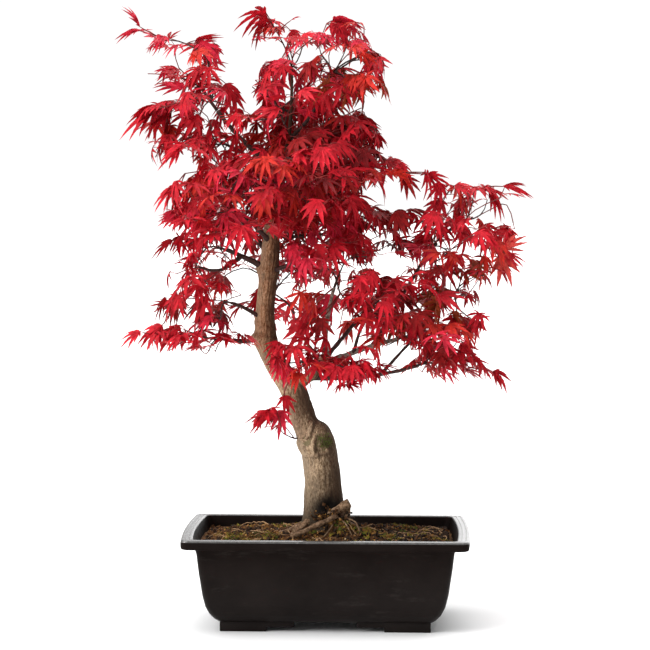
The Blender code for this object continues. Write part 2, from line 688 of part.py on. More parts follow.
def twig_mesh(name, points, radii):
    rings = []
    for k, (point, radius) in enumerate(zip(points, radii)):
        along = (points[min(k + 1, len(points) - 1)] - points[max(k - 1, 0)]).normalized()
        side = along.cross(Vector((0.31, 0.23, 0.92))).normalized()
        fore = along.cross(side)
        turn = 2 * math.pi / TWIG_SIDES
        rings.append([point + (side * math.cos(turn * n) + fore * math.sin(turn * n)) * radius
                      for n in range(TWIG_SIDES)])
    return mesh_from_rings(name, rings)


def leaf_outline(scale):
    """Outline in the leaf's own plane as (forward, sideways, drop), from the stalk's root round."""
    palm = LEAF_STALK * scale
    half = []
    angles = [angle for angle, _ in LEAF_LOBES]
    for k, (angle, length) in enumerate(LEAF_LOBES):
        reach = length * MM * scale
        half.append((angle, reach, reach * LEAF_DROOP))
        if k + 1 < len(angles):
            half.append(((angle + angles[k + 1]) / 2, LEAF_NOTCH * scale, LEAF_NOTCH * scale * 0.05))
    polar = list(reversed(half)) + [(-angle, reach, drop) for angle, reach, drop in half[1:]]
    neck, neck_half = LEAF_NECK
    points = [(0.0, 0.0, 0.0), (neck * scale, neck_half, 0.0)]
    for angle, reach, drop in polar:
        turn = math.radians(angle)
        points.append((palm + reach * math.cos(turn), reach * math.sin(turn), drop))
    return palm, points + [(neck * scale, -neck_half, 0.0)]


def leaf_frame(heading, lean):
    """Forward, sideways and face-up directions of a leaf that hangs along its heading."""
    side = heading.cross(Vector((0, 0, 1))).normalized()
    face = side.cross(heading).normalized()
    turn = Matrix.Rotation(lean, 3, heading)
    return heading, turn @ side, turn @ face


def leaf_points(root, heading, lean, scale):
    forward, side, face = leaf_frame(heading, lean)
    palm, outline = leaf_outline(scale)
    rim = [root + forward * x + side * y - face * drop for x, y, drop in outline]
    return root + forward * palm, face, rim


def leaf_mesh(name, palm, face, rim):
    """Two shallow cones on one outline, one above and one below."""
    shape = bmesh.new()
    top = shape.verts.new(palm + face * LEAF_HALF_THICKNESS)
    under = shape.verts.new(palm - face * LEAF_HALF_THICKNESS)
    edge = [shape.verts.new(point) for point in rim]
    for k in range(len(edge)):
        n = (k + 1) % len(edge)
        shape.faces.new((top, edge[n], edge[k]))
        shape.faces.new((under, edge[k], edge[n]))
    bmesh.ops.recalc_face_normals(shape, faces=shape.faces)
    mesh = bpy.data.meshes.new(name)
    shape.to_mesh(mesh)
    shape.free()
    return mesh


def leaf_samples(palm, rim):
    """Points over a leaf, from palm to rim, that are tested against limbs, twigs and leaves."""
    found = [palm.lerp(point, k / LEAF_SAMPLES) for point in rim for k in range(1, LEAF_SAMPLES + 1)]
    return found + [(a + b) / 2 for a, b in zip(rim, rim[1:])]


def segment_samples(points, step=3.0 * MM):
    found = []
    for a, b in zip(points, points[1:]):
        count = max(1, int((b - a).length / step))
        found += [a.lerp(b, k / count) for k in range(count + 1)]
    return found


def leaf_heading(twig_along, outward, turn, droop):
    """A leaf leaves its twig at an angle, turns towards the outside and hangs."""
    flat = Vector((twig_along.x, twig_along.y, 0.15)) + outward * 0.5
    flat = Matrix.Rotation(turn, 3, "Z") @ flat.normalized()
    return (flat.normalized() * math.cos(droop) - Vector((0, 0, 1)) * math.sin(droop)).normalized()


def place_leaves(mass, nodes, branches, obstacles, rng):
    """A leading leaf at the far end, and pairs of leaves at the joints and ends of the twigs."""
    centres, radii = obstacles
    twigs = [point for branch in branches for point in segment_samples([nodes[k]["at"] for k in branch])]
    taken = np.array(twigs)
    leaves = []

    def try_leaf(node, heading, lean, scale):
        nonlocal taken
        root = node["at"] - node["along"] * LEAF_ROOT
        palm, face, rim = leaf_points(root, heading, lean, scale)
        if not all(mass.inside(point) for point in rim):
            return False
        samples = np.array(leaf_samples(palm, rim))
        if not clear_of(samples, centres, radii + LEAF_CLEARANCE):
            return False
        outer = samples[np.linalg.norm(samples - np.array(root), axis=1) > LEAF_ROOT_ZONE]
        others = taken[np.linalg.norm(taken - np.array(root), axis=1) > LEAF_ROOT_ZONE]
        if len(others) and not clear_of(outer, others, np.full(len(others), LEAF_APART)):
            return False
        taken = np.concatenate([taken, outer])
        leaves.append((palm, face, rim))
        return True

    far_ends = [branch[-1] for branch in branches[1:] if (nodes[branch[-1]]["at"] - mass.end).length < 1.0 * MM]
    for index in far_ends:
        lean = LEAD_LEAN * max(0.0, mass.forward.z)
        for turned in (0, 30, -30, 60, -60, 90, -90):
            if try_leaf(nodes[index], mass.forward, math.radians(lean + turned), mass.lead_scale * LEAD_FIT):
                break
    for branch in branches[1:]:
        for index in reversed(branch[1:]):
            node = nodes[index]
            if index in far_ends:
                continue
            outward = node["at"] - Vector(CROWN_MIDDLE)
            outward = Vector((outward.x, outward.y, 0)).normalized()
            for sign in (0, 1, -1) if index == branch[-1] else (1, -1):
                for attempt in range(LEAF_TRIES):
                    scale = (1.0 - LEAF_SHRINK * attempt) * rng.uniform(0.96, 1.14)
                    turned = math.radians(sign * LEAF_SPREAD + rng.uniform(-8, 8) * (1 + attempt * 0.4))
                    droop = math.radians(rng.uniform(*LEAF_HANG))
                    heading = leaf_heading(node["along"], outward, turned, droop)
                    if try_leaf(node, heading, math.radians(rng.uniform(-LEAF_TURN, LEAF_TURN)), scale):
                        break
    return leaves


def build_mass(mass, obstacles, parts, finish):
    rng = random.Random(f"{SEED} {mass.name}")
    nodes, branches = grow(mass, obstacles, rng)
    radii = node_radii(nodes, branches, mass.base_radius)
    leaves = place_leaves(mass, nodes, branches, obstacles, rng)
    group = collection(mass.name + "_pieces")
    for number, branch in enumerate(branches[1:]):
        points = [nodes[index]["at"] for index in branch]
        widths = [radii[index] for index in branch]
        widths[0] = radii[branch[1]]
        add_object(f"twig_{number}", twig_mesh("twig", points, widths), group)
    for number, (palm, face, rim) in enumerate(leaves):
        add_object(f"leaf_{number}", leaf_mesh("leaf", palm, face, rim), group)
    stem = branches[0]
    stem_skin = twig_mesh(mass.name, [nodes[k]["at"] for k in stem], [radii[k] for k in stem])
    item = add_object(mass.name, stem_skin, parts, finish)
    item.data = keep_main_shell(applied_boolean(item, "UNION", group=group, solver="MANIFOLD"))
    item.data.name = mass.name
    for piece in list(group.objects):
        bpy.data.objects.remove(piece, do_unlink=True)
    bpy.data.collections.remove(group)
    return len(leaves)


# ---------------------------------------------------------------- assembly

def build():
    clear_scene()
    parts = collection("maple_bonsai")
    cutters = collection("cutters")
    bark = material("bark", (0.30, 0.22, 0.15), 0.85)
    dark_bark = material("young_bark", (0.10, 0.06, 0.045), 0.8)
    leaf_red = material("foliage", (0.55, 0.02, 0.03), 0.6)
    plastic = material("pot_plastic", (0.016, 0.013, 0.012), 0.45)
    earth = material("soil", (0.16, 0.10, 0.05), 0.95)

    build_pot(parts, plastic)
    soil = add_object("soil", mesh_from_rings("soil", soil_rings()), parts, earth)
    smooth(soil.data)

    trunk = trunk_limb()
    trunk_item = add_object("trunk", mesh_from_rings("trunk", trunk_rings(trunk)), parts, bark)
    smooth(trunk_item.data, 50.0)
    swollen = {"trunk": add_object("trunk_cutter", mesh_from_rings("cutter", trunk_rings(trunk, GAP)), cutters)}
    soil_cutter = add_object("soil_cutter", mesh_from_rings("cutter", soil_rings(GAP)), cutters)

    for name, limb in root_limbs(trunk).items():
        item = add_object(name, limb_mesh(name, limb), parts, bark)
        item.data = applied_boolean(item, "DIFFERENCE", cutter=swollen["trunk"])
        item.data = keep_main_shell(applied_boolean(item, "DIFFERENCE", cutter=soil_cutter))

    limbs = bough_limbs(trunk)
    for name, (parent, *_) in BOUGHS.items():
        finish = bark if name in OLD_WOOD else dark_bark
        item = add_object(name, limb_mesh(name, limbs[name]), parts, finish)
        if parent not in swollen:
            swollen[parent] = add_object(parent + "_cutter", limb_mesh(parent, limbs[parent], GAP), cutters)
        item.data = keep_main_shell(applied_boolean(item, "DIFFERENCE", cutter=swollen[parent]))
        smooth(item.data, 50.0)

    samples = [sample for limb in limbs.values() for sample in limb.samples()]
    obstacles = (np.array([point for point, _ in samples]), np.array([radius for _, radius in samples]))
    masses = [Mass(name, limbs) for name in MASSES]
    divide_space(masses)
    counts = {mass.name: build_mass(mass, obstacles, parts, leaf_red) for mass in masses}
    print("leaves:", sum(counts.values()), counts)

    for item in list(cutters.objects):
        item.hide_render = True
        item.display_type = "WIRE"


build()
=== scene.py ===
import functools
import math
import random

import bmesh
import bpy
import numpy as np
from mathutils import Matrix, Vector, noise


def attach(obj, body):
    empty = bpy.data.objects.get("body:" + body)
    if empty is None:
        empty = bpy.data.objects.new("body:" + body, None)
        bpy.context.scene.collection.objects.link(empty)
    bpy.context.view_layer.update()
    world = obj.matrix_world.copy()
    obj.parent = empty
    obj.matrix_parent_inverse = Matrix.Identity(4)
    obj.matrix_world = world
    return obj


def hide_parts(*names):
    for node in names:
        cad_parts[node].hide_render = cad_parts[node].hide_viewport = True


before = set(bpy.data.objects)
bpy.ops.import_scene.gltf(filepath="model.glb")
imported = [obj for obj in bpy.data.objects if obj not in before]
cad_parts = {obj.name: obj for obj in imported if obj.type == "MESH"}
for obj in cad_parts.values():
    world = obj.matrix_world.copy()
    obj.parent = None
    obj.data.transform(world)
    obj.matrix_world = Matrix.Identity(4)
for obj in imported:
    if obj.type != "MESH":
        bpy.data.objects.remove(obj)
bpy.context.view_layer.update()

MM = 0.001
UP = Vector((0, 0, 1))
SEED = 5
noise.seed_set(SEED)            # noise_vector starts from the clock unless it is given a seed

# ---------------------------------------------------------------- camera, crown outline and gaps

CAMERA_PLACE = Vector((0.0580, -2.3571, 0.4257))
CAMERA_TURN = math.radians(1.478)
CAMERA_TILT = 0.0535
CAMERA_ROLL = 0.0034
LENS = 130.04               # mm
SENSOR = 36.0               # mm
PHOTO_SIZE = 650            # the photo's width and height in pixels

# The crown's outline from the front, mm, on the plane through the trunk's foot: x, z.
CROWN_OUTLINE = (
    (-212, 273), (-211, 285), (-191, 306), (-179, 328), (-166, 341), (-177, 362), (-171, 378), (-157, 392),
    (-179, 408), (-176, 428), (-159, 440), (-166, 452), (-179, 464), (-177, 478), (-216, 488), (-201, 512),
    (-179, 523), (-149, 523), (-151, 535), (-183, 540), (-183, 558), (-171, 562), (-193, 562), (-195, 578),
    (-217, 581), (-220, 594), (-207, 602), (-207, 622), (-195, 624), (-185, 610), (-181, 596), (-157, 594),
    (-137, 596), (-132, 602), (-107, 596), (-103, 569), (-87, 533), (-86, 513), (-73, 513), (-79, 533),
    (-77, 559), (-67, 573), (-77, 579), (-97, 594), (-101, 606), (-89, 616), (-61, 618), (-29, 610),
    (-3, 606), (13, 610), (39, 601), (37, 591), (51, 583), (69, 557), (65, 521), (54, 505), (56, 485),
    (76, 475), (88, 457), (102, 459), (132, 451), (144, 441), (172, 442), (186, 448), (208, 438),
    (202, 426), (178, 420), (178, 404), (192, 394), (202, 370), (191, 346), (173, 333), (173, 307),
    (159, 291), (151, 279), (165, 269), (181, 249), (187, 235), (173, 231), (147, 245), (135, 233),
    (113, 243), (81, 246), (57, 240), (39, 234), (23, 226), (-10, 230), (-28, 228), (-52, 234), (-68, 252),
    (-66, 268), (-72, 274), (-92, 272), (-123, 272), (-159, 269),
)
SUCKER_OUTLINE = ((-88, 199), (-82, 215), (-60, 225), (-36, 228), (-32, 187), (-52, 185), (-74, 191))
# Openings in the crown, read off the photo: column and row of the middle in pixels, half width and
# half height in mm.
GAPS = (
    (243, 280, 14, 13), (212, 264, 7, 5), (233, 245, 8, 5), (181, 252, 8, 5), (238, 300, 7, 4),
    (243, 322, 10, 5), (157, 314, 5, 7), (285, 285, 6, 9), (293, 361, 5, 6), (373, 197, 9, 8),
    (392, 192, 8, 10), (409, 203, 8, 4), (389, 265, 13, 12), (345, 274, 5, 8), (317, 289, 8, 5),
    (345, 295, 4, 4), (443, 247, 8, 4), (461, 250, 8, 4), (487, 214, 13, 10), (451, 283, 7, 6),
    (475, 284, 5, 8), (496, 285, 5, 9), (398, 357, 16, 8), (343, 319, 5, 4), (352, 334, 5, 4),
    (338, 335, 4, 5), (366, 311, 5, 4), (468, 312, 4, 4), (391, 227, 5, 4), (427, 231, 4, 4),
    (181, 61, 8, 6), (178, 41, 5, 4), (208, 114, 7, 4), (226, 151, 9, 6), (181, 170, 11, 12),
    (270, 52, 11, 9), (304, 57, 9, 8), (336, 61, 9, 8), (350, 36, 9, 3), (322, 29, 6, 4), (296, 26, 6, 8),
    (346, 112, 4, 6), (372, 108, 8, 9), (165, 93, 9, 6), (157, 60, 6, 5), (141, 42, 8, 5), (208, 35, 8, 4),
    (278, 48, 7, 6), (241, 101, 8, 10), (352, 60, 5, 6), (386, 50, 7, 4), (393, 80, 7, 9),
    (178, 275, 6, 6), (490, 306, 9, 8),
)
# Where a limb is seen, mm: middle x and z, half width, half height, and the depth in front of which
# nothing hangs.
WINDOWS = ((-60, 339, 15, 50, 0), (-37, 522, 4, 40, -2), (4, 318, 7, 42, -20))

# ---------------------------------------------------------------- limbs, as in the part's source

# The trunk's rings, mm: height, middle x and y, radius.
TRUNK = (
    (90.3, -3.0, 0.0, 27.0), (96.0, -2.5, 0.0, 23.8), (104.0, -3.0, 0.0, 21.6), (115.0, -3.5, 0.0, 20.4),
    (127.0, -4.0, 0.0, 19.3), (144.0, -4.6, 0.0, 18.2), (160.0, -6.6, 0.0, 17.4), (172.0, -8.4, 0.0, 17.2),
    (181.0, -11.4, 0.0, 18.5), (190.0, -14.4, 0.0, 18.2), (198.0, -19.0, 0.0, 15.6),
    (207.0, -24.4, 0.0, 13.8), (218.0, -28.6, 0.0, 13.0), (231.0, -33.5, 0.5, 12.2),
    (246.0, -43.0, 1.0, 11.4), (264.0, -54.5, 2.0, 10.7), (282.0, -61.6, 3.0, 11.3),
    (294.0, -62.9, 3.0, 10.8), (314.0, -63.3, 2.0, 9.2), (335.0, -61.3, 1.0, 9.1),
    (354.0, -59.5, 0.0, 9.7), (375.0, -57.6, -1.0, 8.9), (398.0, -56.4, -2.0, 7.7),
    (425.0, -53.6, -2.0, 6.2), (452.0, -47.0, -1.0, 4.6), (470.0, -42.2, 0.0, 3.0),
    (487.0, -39.6, 0.0, 2.2), (507.0, -38.0, 0.0, 1.8), (530.0, -37.0, 0.0, 1.5), (553.0, -36.8, 0.0, 1.3),
)
FLARE_LOBES = 5
FLARE_DEPTH = 0.16
FLARE_TURN = 0.9
FLARE_HEIGHT = 30.0 * MM
HOLLOW = Vector((3.0, -19.0, 112.0)) * MM       # the hollow at the foot, painted near-black inside as painted shade
# Surface roots, mm: angle and height where they leave the trunk, two places on the soil, radius at each end.
ROOTS = (
    ("root_front", (248.0, 101.0), ((-21.0, -33.0), (-37.0, -44.0)), (5.6, 2.6)),
    ("root_right", (338.0, 108.0), ((25.0, -15.0), (31.0, -20.0)), (6.6, 3.6)),
    ("root_left", (196.0, 99.0), ((-36.0, -8.0), (-47.0, -16.0)), (5.0, 2.2)),
)
# Boughs, mm: parent, height on the trunk or share of the parent's length, tip, bow, radius at each end.
BOUGHS = {
    "right_low": ("trunk", 236.0, (-2, -8, 269), (3, 0, -3), 6.2, 4.6),
    "right_rise": ("right_low", 1.0, (7, -22, 338), (-3, -2, 0), 2.9, 1.6),
    "right_reach": ("right_low", 0.78, (70, -30, 288), (3, 0, 2), 3.2, 1.9),
    "right_long": ("right_low", 0.42, (92, 8, 259), (4, 0, -5), 2.8, 1.5),
    "right_out": ("right_long", 0.62, (119, 14, 323), (-2, 4, -3), 1.6, 1.1),
    "right_dark": ("right_reach", 0.66, (99, 8, 371), (-3, 4, -5), 2.2, 1.5),
    "right_spur": ("right_reach", 0.40, (40, -40, 314), (-2, 0, -3), 1.7, 1.2),
    "left_low": ("trunk", 287.0, (-96, -10, 284), (0, 0, -2), 2.9, 2.0),
    "left_mid": ("trunk", 303.0, (-96, -18, 322), (0, 0, 2), 2.2, 1.5),
    "left_up": ("trunk", 354.0, (-102, -10, 375), (-1, 0, 2), 3.2, 1.9),
    "left_under": ("left_up", 0.62, (-122, -36, 357), (0, 0, -7), 1.8, 1.3),
    "centre_right": ("trunk", 353.0, (-27, -28, 368), (0, 0, -2), 2.4, 1.6),
    "upper_left": ("trunk", 424.0, (-98, -14, 452), (0, 0, 3), 2.6, 1.6),
    "left_arm": ("trunk", 440.0, (-100, 14, 479), (0, 0, 4), 2.6, 1.6),
    "top_left": ("trunk", 455.0, (-111, -6, 514), (-2, 0, -5), 2.8, 1.8),
    "top_right": ("trunk", 486.0, (0, -4, 545), (3, 0, -5), 1.9, 1.4),
    "right_high": ("trunk", 414.0, (10, -8, 440), (0, 0, -3), 2.8, 1.7),
    "back_low": ("trunk", 299.0, (-58, 66, 326), (0, 0, 3), 2.6, 1.7),
    "back_mid": ("trunk", 368.0, (-92, 64, 398), (0, 0, 3), 2.6, 1.7),
    "back_right": ("right_low", 0.70, (44, 62, 318), (-4, 4, -4), 2.6, 1.7),
    "front_low": ("right_low", 0.60, (-14, -44, 264), (0, 0, -3), 2.0, 1.4),
    "front_left": ("trunk", 381.0, (-88, -58, 412), (0, 0, 3), 2.6, 1.7),
    "dead_stub": ("right_low", 0.80, (-33, -17, 300), (0, 0, 1), 2.0, 1.3),
}
BOUGH_STEPS = 24
OLD_WOOD = ("right_low", "dead_stub")
GREY_WOOD = ("right_rise", "right_reach")

# Foliage masses, mm: limb, height on the trunk or None for the limb's tip, furthest tip, half width,
# half height, least distance between the ends of two twigs, and the sprays' tints.
MASSES = {
    "top_left_leaves": ("top_left", None, (-200, -10, 622), 28, 24, 29, "young"),
    "leader_leaves": ("trunk", 553.0, (-62, -10, 621), 36, 22, 25, "young"),
    "top_right_leaves": ("top_right", None, (74, -10, 594), 40, 34, 24, "russet"),
    "leader_left_leaves": ("trunk", 514.0, (-100, -30, 568), 42, 36, 24, "bright"),
    "left_arm_leaves": ("left_arm", None, (-213, 26, 508), 36, 24, 29, "bright"),
    "upper_left_leaves": ("upper_left", None, (-178, -24, 450), 40, 32, 31, "mixed"),
    "left_up_leaves": ("left_up", None, (-176, 0, 392), 34, 24, 31, "mixed"),
    "left_under_leaves": ("left_under", None, (-168, -74, 348), 28, 13, 26, "bright"),
    "left_mid_leaves": ("left_mid", None, (-178, -14, 330), 28, 18, 28, "mixed"),
    "left_low_leaves": ("left_low", None, (-208, -16, 290), 26, 11, 27, "bright"),
    "centre_right_leaves": ("centre_right", None, (24, -80, 392), 38, 32, 28, "young"),
    "right_rise_leaves": ("right_rise", None, (38, -10, 414), 38, 32, 28, "mixed"),
    "front_low_leaves": ("front_low", None, (10, -112, 270), 42, 12, 25, "bright"),
    "right_spur_leaves": ("right_spur", None, (58, -104, 340), 32, 20, 29, "mixed"),
    "right_reach_leaves": ("right_reach", None, (156, -52, 312), 36, 21, 28, "russet"),
    "right_long_leaves": ("right_long", None, (188, 14, 254), 26, 12, 28, "bright"),
    "right_out_leaves": ("right_out", None, (206, 32, 386), 34, 26, 28, "coral"),
    "right_dark_leaves": ("right_dark", None, (211, 16, 446), 34, 30, 26, "bright"),
    "right_high_leaves": ("right_high", None, (98, -24, 462), 36, 28, 27, "mixed"),
    "shoulder_leaves": ("trunk", 474.0, (72, 24, 520), 44, 34, 20, "deep"),
    "mid_right_leaves": ("trunk", 388.0, (108, 52, 416), 34, 26, 26, "mixed"),
    "front_left_leaves": ("front_left", None, (-110, -148, 428), 40, 24, 30, "bright"),
    "front_right_leaves": ("trunk", 432.0, (8, -148, 452), 40, 28, 25, "mixed"),
    "back_low_leaves": ("back_low", None, (-62, 148, 340), 42, 20, 27, "mixed"),
    "back_mid_leaves": ("back_mid", None, (-116, 146, 420), 40, 24, 29, "mixed"),
    "back_high_leaves": ("trunk", 446.0, (-12, 146, 486), 44, 34, 23, "deep"),
    "back_right_leaves": ("back_right", None, (82, 140, 344), 40, 20, 29, "mixed"),
    "sucker_leaves": ("trunk", 193.0, (-84, -20, 226), 18, 9, 26, "bright"),
}
# Single leaves at the ends of the longest shoots: column and row of the blade's foot and of its tip, read
# off the photo in pixels, its depth in mm, how far its lobes spread, and its tint.
LONE_LEAVES = (
    (139, 26, 128, 1, -8, 0.62, "rose"), (138, 30, 111, 36, -12, 0.50, "rose"),
    (196, 40, 224, 31, -14, 0.42, "bright"), (200, 43, 224, 58, -20, 0.80, "rose"),
    (266, 12, 230, 24, -18, 0.75, "bright"), (268, 18, 243, 40, -8, 0.70, "crimson"),
    (291, 20, 300, 14, -6, 0.50, "rose"), (333, 20, 367, 24, -16, 0.60, "rose"),
    (330, 26, 358, 36, -24, 0.80, "bright"), (156, 108, 114, 134, -10, 0.48, "crimson"),
    (158, 106, 121, 117, -2, 0.40, "bright"), (170, 108, 141, 138, 4, 0.50, "crimson"),
    (172, 112, 158, 143, 10, 0.50, "deep"), (503, 187, 537, 193, 10, 0.42, "bright"),
    (505, 186, 527, 181, 18, 0.35, "crimson"), (489, 192, 507, 219, 14, 0.42, "crimson"),
    (140, 331, 119, 342, -20, 0.55, "bright"), (494, 371, 513, 388, 8, 0.60, "crimson"),
    (478, 228, 500, 231, 6, 0.50, "bright"), (505, 250, 524, 231, 24, 0.72, "coral"),
    (506, 254, 528, 265, 16, 0.60, "bright"), (500, 257, 516, 286, 10, 0.72, "coral"),
    (479, 262, 483, 291, 4, 0.80, "coral"), (424, 172, 438, 199, -20, 0.80, "bright"),
    (427, 174, 456, 184, -24, 0.70, "crimson"), (456, 184, 476, 194, -10, 0.60, "bright"),
    (387, 160, 413, 170, -10, 0.70, "crimson"), (178, 215, 154, 222, -6, 0.60, "crimson"),
    (180, 150, 157, 166, -16, 0.70, "bright"), (184, 88, 152, 78, -6, 0.55, "rose"),
    (440, 303, 410, 318, -34, 0.90, "rust"), (436, 304, 430, 332, -38, 0.90, "rust"),
    (452, 312, 470, 330, -30, 0.80, "rust"), (330, 82, 310, 104, -60, 0.90, "rust"),
    (345, 86, 352, 112, -56, 0.90, "rust"), (277, 411, 244, 427, -26, 0.62, "bright"),
    (283, 410, 276, 438, -24, 0.62, "rose"), (284, 396, 291, 416, -22, 0.60, "crimson"),
    (403, 176, 418, 199, -16, 0.60, "deep"), (441, 183, 431, 206, -6, 0.60, "bright"),
    (442, 200, 424, 226, -8, 0.70, "crimson"), (200, 117, 170, 137, -20, 0.60, "crimson"),
    (162, 326, 134, 347, -18, 0.60, "bright"), (176, 328, 152, 347, -14, 0.60, "crimson"),
    (200, 284, 178, 308, -16, 0.80, "crimson"), (207, 298, 188, 326, -20, 0.70, "bright"),
    (166, 298, 149, 322, -10, 0.60, "crimson"), (311, 308, 292, 334, -28, 0.80, "bright"),
    (306, 324, 284, 350, -30, 0.70, "crimson"), (322, 318, 314, 349, -26, 0.70, "deep"),
    (402, 318, 381, 343, -22, 0.70, "rust"), (431, 248, 416, 274, -14, 0.70, "crimson"),
    (450, 252, 463, 279, -10, 0.60, "bright"), (176, 186, 152, 209, -10, 0.62, "bright"),
    (180, 192, 165, 222, -14, 0.70, "crimson"), (172, 240, 148, 256, -8, 0.55, "crimson"),
    (232, 92, 238, 116, -14, 0.60, "bright"), (226, 84, 241, 104, -18, 0.60, "crimson"),
)
CROWN_HALF = (216.0 * MM, 152.0 * MM)
CROWN_TOP = 624.0 * MM
TWIG_MARGIN = 22 * MM       # how far twigs keep inside that reach, for the leaves on them
CROWN_MIDDLE = Vector((-20.0 * MM, 0.0, 420.0 * MM))

# ---------------------------------------------------------------- leaves and twigs

# Lobes of a leaf: angle from the middle one, length, half width, mm.
LOBES = ((0, 30.0, 2.9), (36, 27.5, 2.7), (-36, 27.5, 2.7), (72, 21.0, 2.15), (-72, 21.0, 2.15),
         (116, 11.0, 1.3), (-116, 11.0, 1.3))
# Half width of a lobe along its length, as shares; the zigzag makes its teeth.
LOBE_PROFILE = ((0.0, 0.34), (0.14, 0.62), (0.22, 0.60), (0.34, 0.96), (0.42, 0.86), (0.52, 1.0),
                (0.60, 0.80), (0.70, 0.76), (0.78, 0.50), (0.88, 0.34))
LEAF_REACH = 44.0 * MM
STALK = (12.0 * MM, 18.0 * MM)
STALK_RADIUS = 0.42 * MM
STALK_TAPER = (1, 0.8, 0.9)
TINTS = {
    "rose": (0.560, 0.018, 0.042), "bright": (0.510, 0.011, 0.022), "crimson": (0.410, 0.008, 0.016),
    "scarlet": (0.470, 0.020, 0.013), "deep": (0.255, 0.008, 0.009), "wine": (0.165, 0.006, 0.008),
    "rust": (0.260, 0.040, 0.012), "coral": (0.580, 0.060, 0.048),
}
TINT_SHARES = {
    "young": {"rose": 5, "bright": 5, "crimson": 2, "scarlet": 1},
    "bright": {"rose": 2, "bright": 5, "crimson": 5, "scarlet": 2, "deep": 1},
    "mixed": {"rose": 1, "bright": 3, "crimson": 5, "scarlet": 3, "deep": 3, "wine": 1},
    "deep": {"bright": 1, "crimson": 4, "scarlet": 2, "deep": 4, "wine": 2, "rust": 1},
    "russet": {"bright": 2, "crimson": 4, "scarlet": 2, "deep": 2, "rust": 4, "rose": 1},
    "coral": {"bright": 3, "crimson": 3, "scarlet": 2, "coral": 3, "rust": 2, "rose": 1},
}
LEAF_FORMS = 14
LEAF_SCALE = (0.74, 1.02)
LEAF_TRIES = 9
END_LEAVES = (0, 62, -62)           # turns of the leaves at a twig's end, degrees
PAIR_LEAVES = (70, -70)             # and of the pair behind them
PAIR_SHARE = 0.5                    # how many twigs carry that pair
SPRAY_DRAWS = 700
TWIG_TIP_RADIUS = 0.55 * MM
TWIG_GROWTH = 0.40
RED_BARK = (0.16, 0.022, 0.020)
RED_SHOOT = 0.62 * MM               # twigs thinner than this are this year's red shoots
TWIG_SIDES = 5
PATH_COST = 0.35
STEM_SHARE = 0.30
LONE_FALL = 6                       # how much nearer a lone leaf's tip hangs than its foot, mm
LONG_SHOOT = 30 * MM
LONG_SHOOT_RADIUS = 1.0 * MM
SHOOT_RADIUS = 0.75 * MM
SHOOT_TURN_COST = 26 * MM
SHOOT_TAPER = ((0, 1), (0.25, 0.9), (0.5, 0.8), (0.75, 0.7), (1, 0.55))     # share of the way, of the radius


def seeded(*words):
    return random.Random(" ".join(str(word) for word in (SEED, *words)))


def heading_at(points, k):
    """The direction of a path at one of its points."""
    return (points[min(k + 1, len(points) - 1)] - points[max(k - 1, 0)]).normalized()


def path_length(points):
    return sum((b - a).length for a, b in zip(points, points[1:]))


def round_turn(count):
    """Angles at even steps round a circle."""
    return [2 * math.pi * n / count for n in range(count)]


def on_bend(start, control, end, t):
    """The place at a share of a bend that sets out towards the control point."""
    return start * (1 - t) ** 2 + control * 2 * t * (1 - t) + end * t * t


class Batch:
    """Vertices and faces of many small forms that become one mesh."""

    def __init__(self):
        self.points = []
        self.faces = []
        self.count = 0

    def add(self, points, faces):
        self.points.append(np.asarray(points, dtype=float))
        self.faces += [[index + self.count for index in face] for face in faces]
        self.count += len(points)

    def tube(self, points, radii, sides, cap=True):
        """A tapering tube, with flat ends or open ones."""
        rings = []
        side = None
        for k, (point, radius) in enumerate(zip(points, radii)):
            along = heading_at(points, k)
            if side is None:
                side = along.cross(Vector((0.31, 0.23, 0.92))).normalized()
            side = (side - along * side.dot(along)).normalized()
            fore = along.cross(side)
            for angle in round_turn(sides):
                rings.append(point + (side * math.cos(angle) + fore * math.sin(angle)) * radius)
        self.add_rings(rings, sides, cap)

    def add_rings(self, points, sides, cap=True):
        """Rings of so many points each, skinned from the first to the last."""
        last = len(points) - sides
        faces = []
        for start in range(0, last, sides):
            for n in range(sides):
                a, b = start + n, start + (n + 1) % sides
                faces.append([a, b, b + sides, a + sides])
        if cap:
            faces.append(list(range(last, len(points))))
            faces.append(list(reversed(range(sides))))
        self.add(points, faces)

    def object(self, name, material, smooth=True):
        mesh = bpy.data.meshes.new(name)
        mesh.from_pydata(np.concatenate(self.points).tolist(), [], self.faces)
        mesh.update()
        if smooth:
            mesh.shade_smooth()
        return piece_of(mesh, material)


def in_scene(name, data):
    item = bpy.data.objects.new(name, data)
    bpy.context.scene.collection.objects.link(item)
    return item


def piece_of(mesh, material):
    mesh.materials.append(material)
    return in_scene(mesh.name, mesh)


# ---------------------------------------------------------------- materials

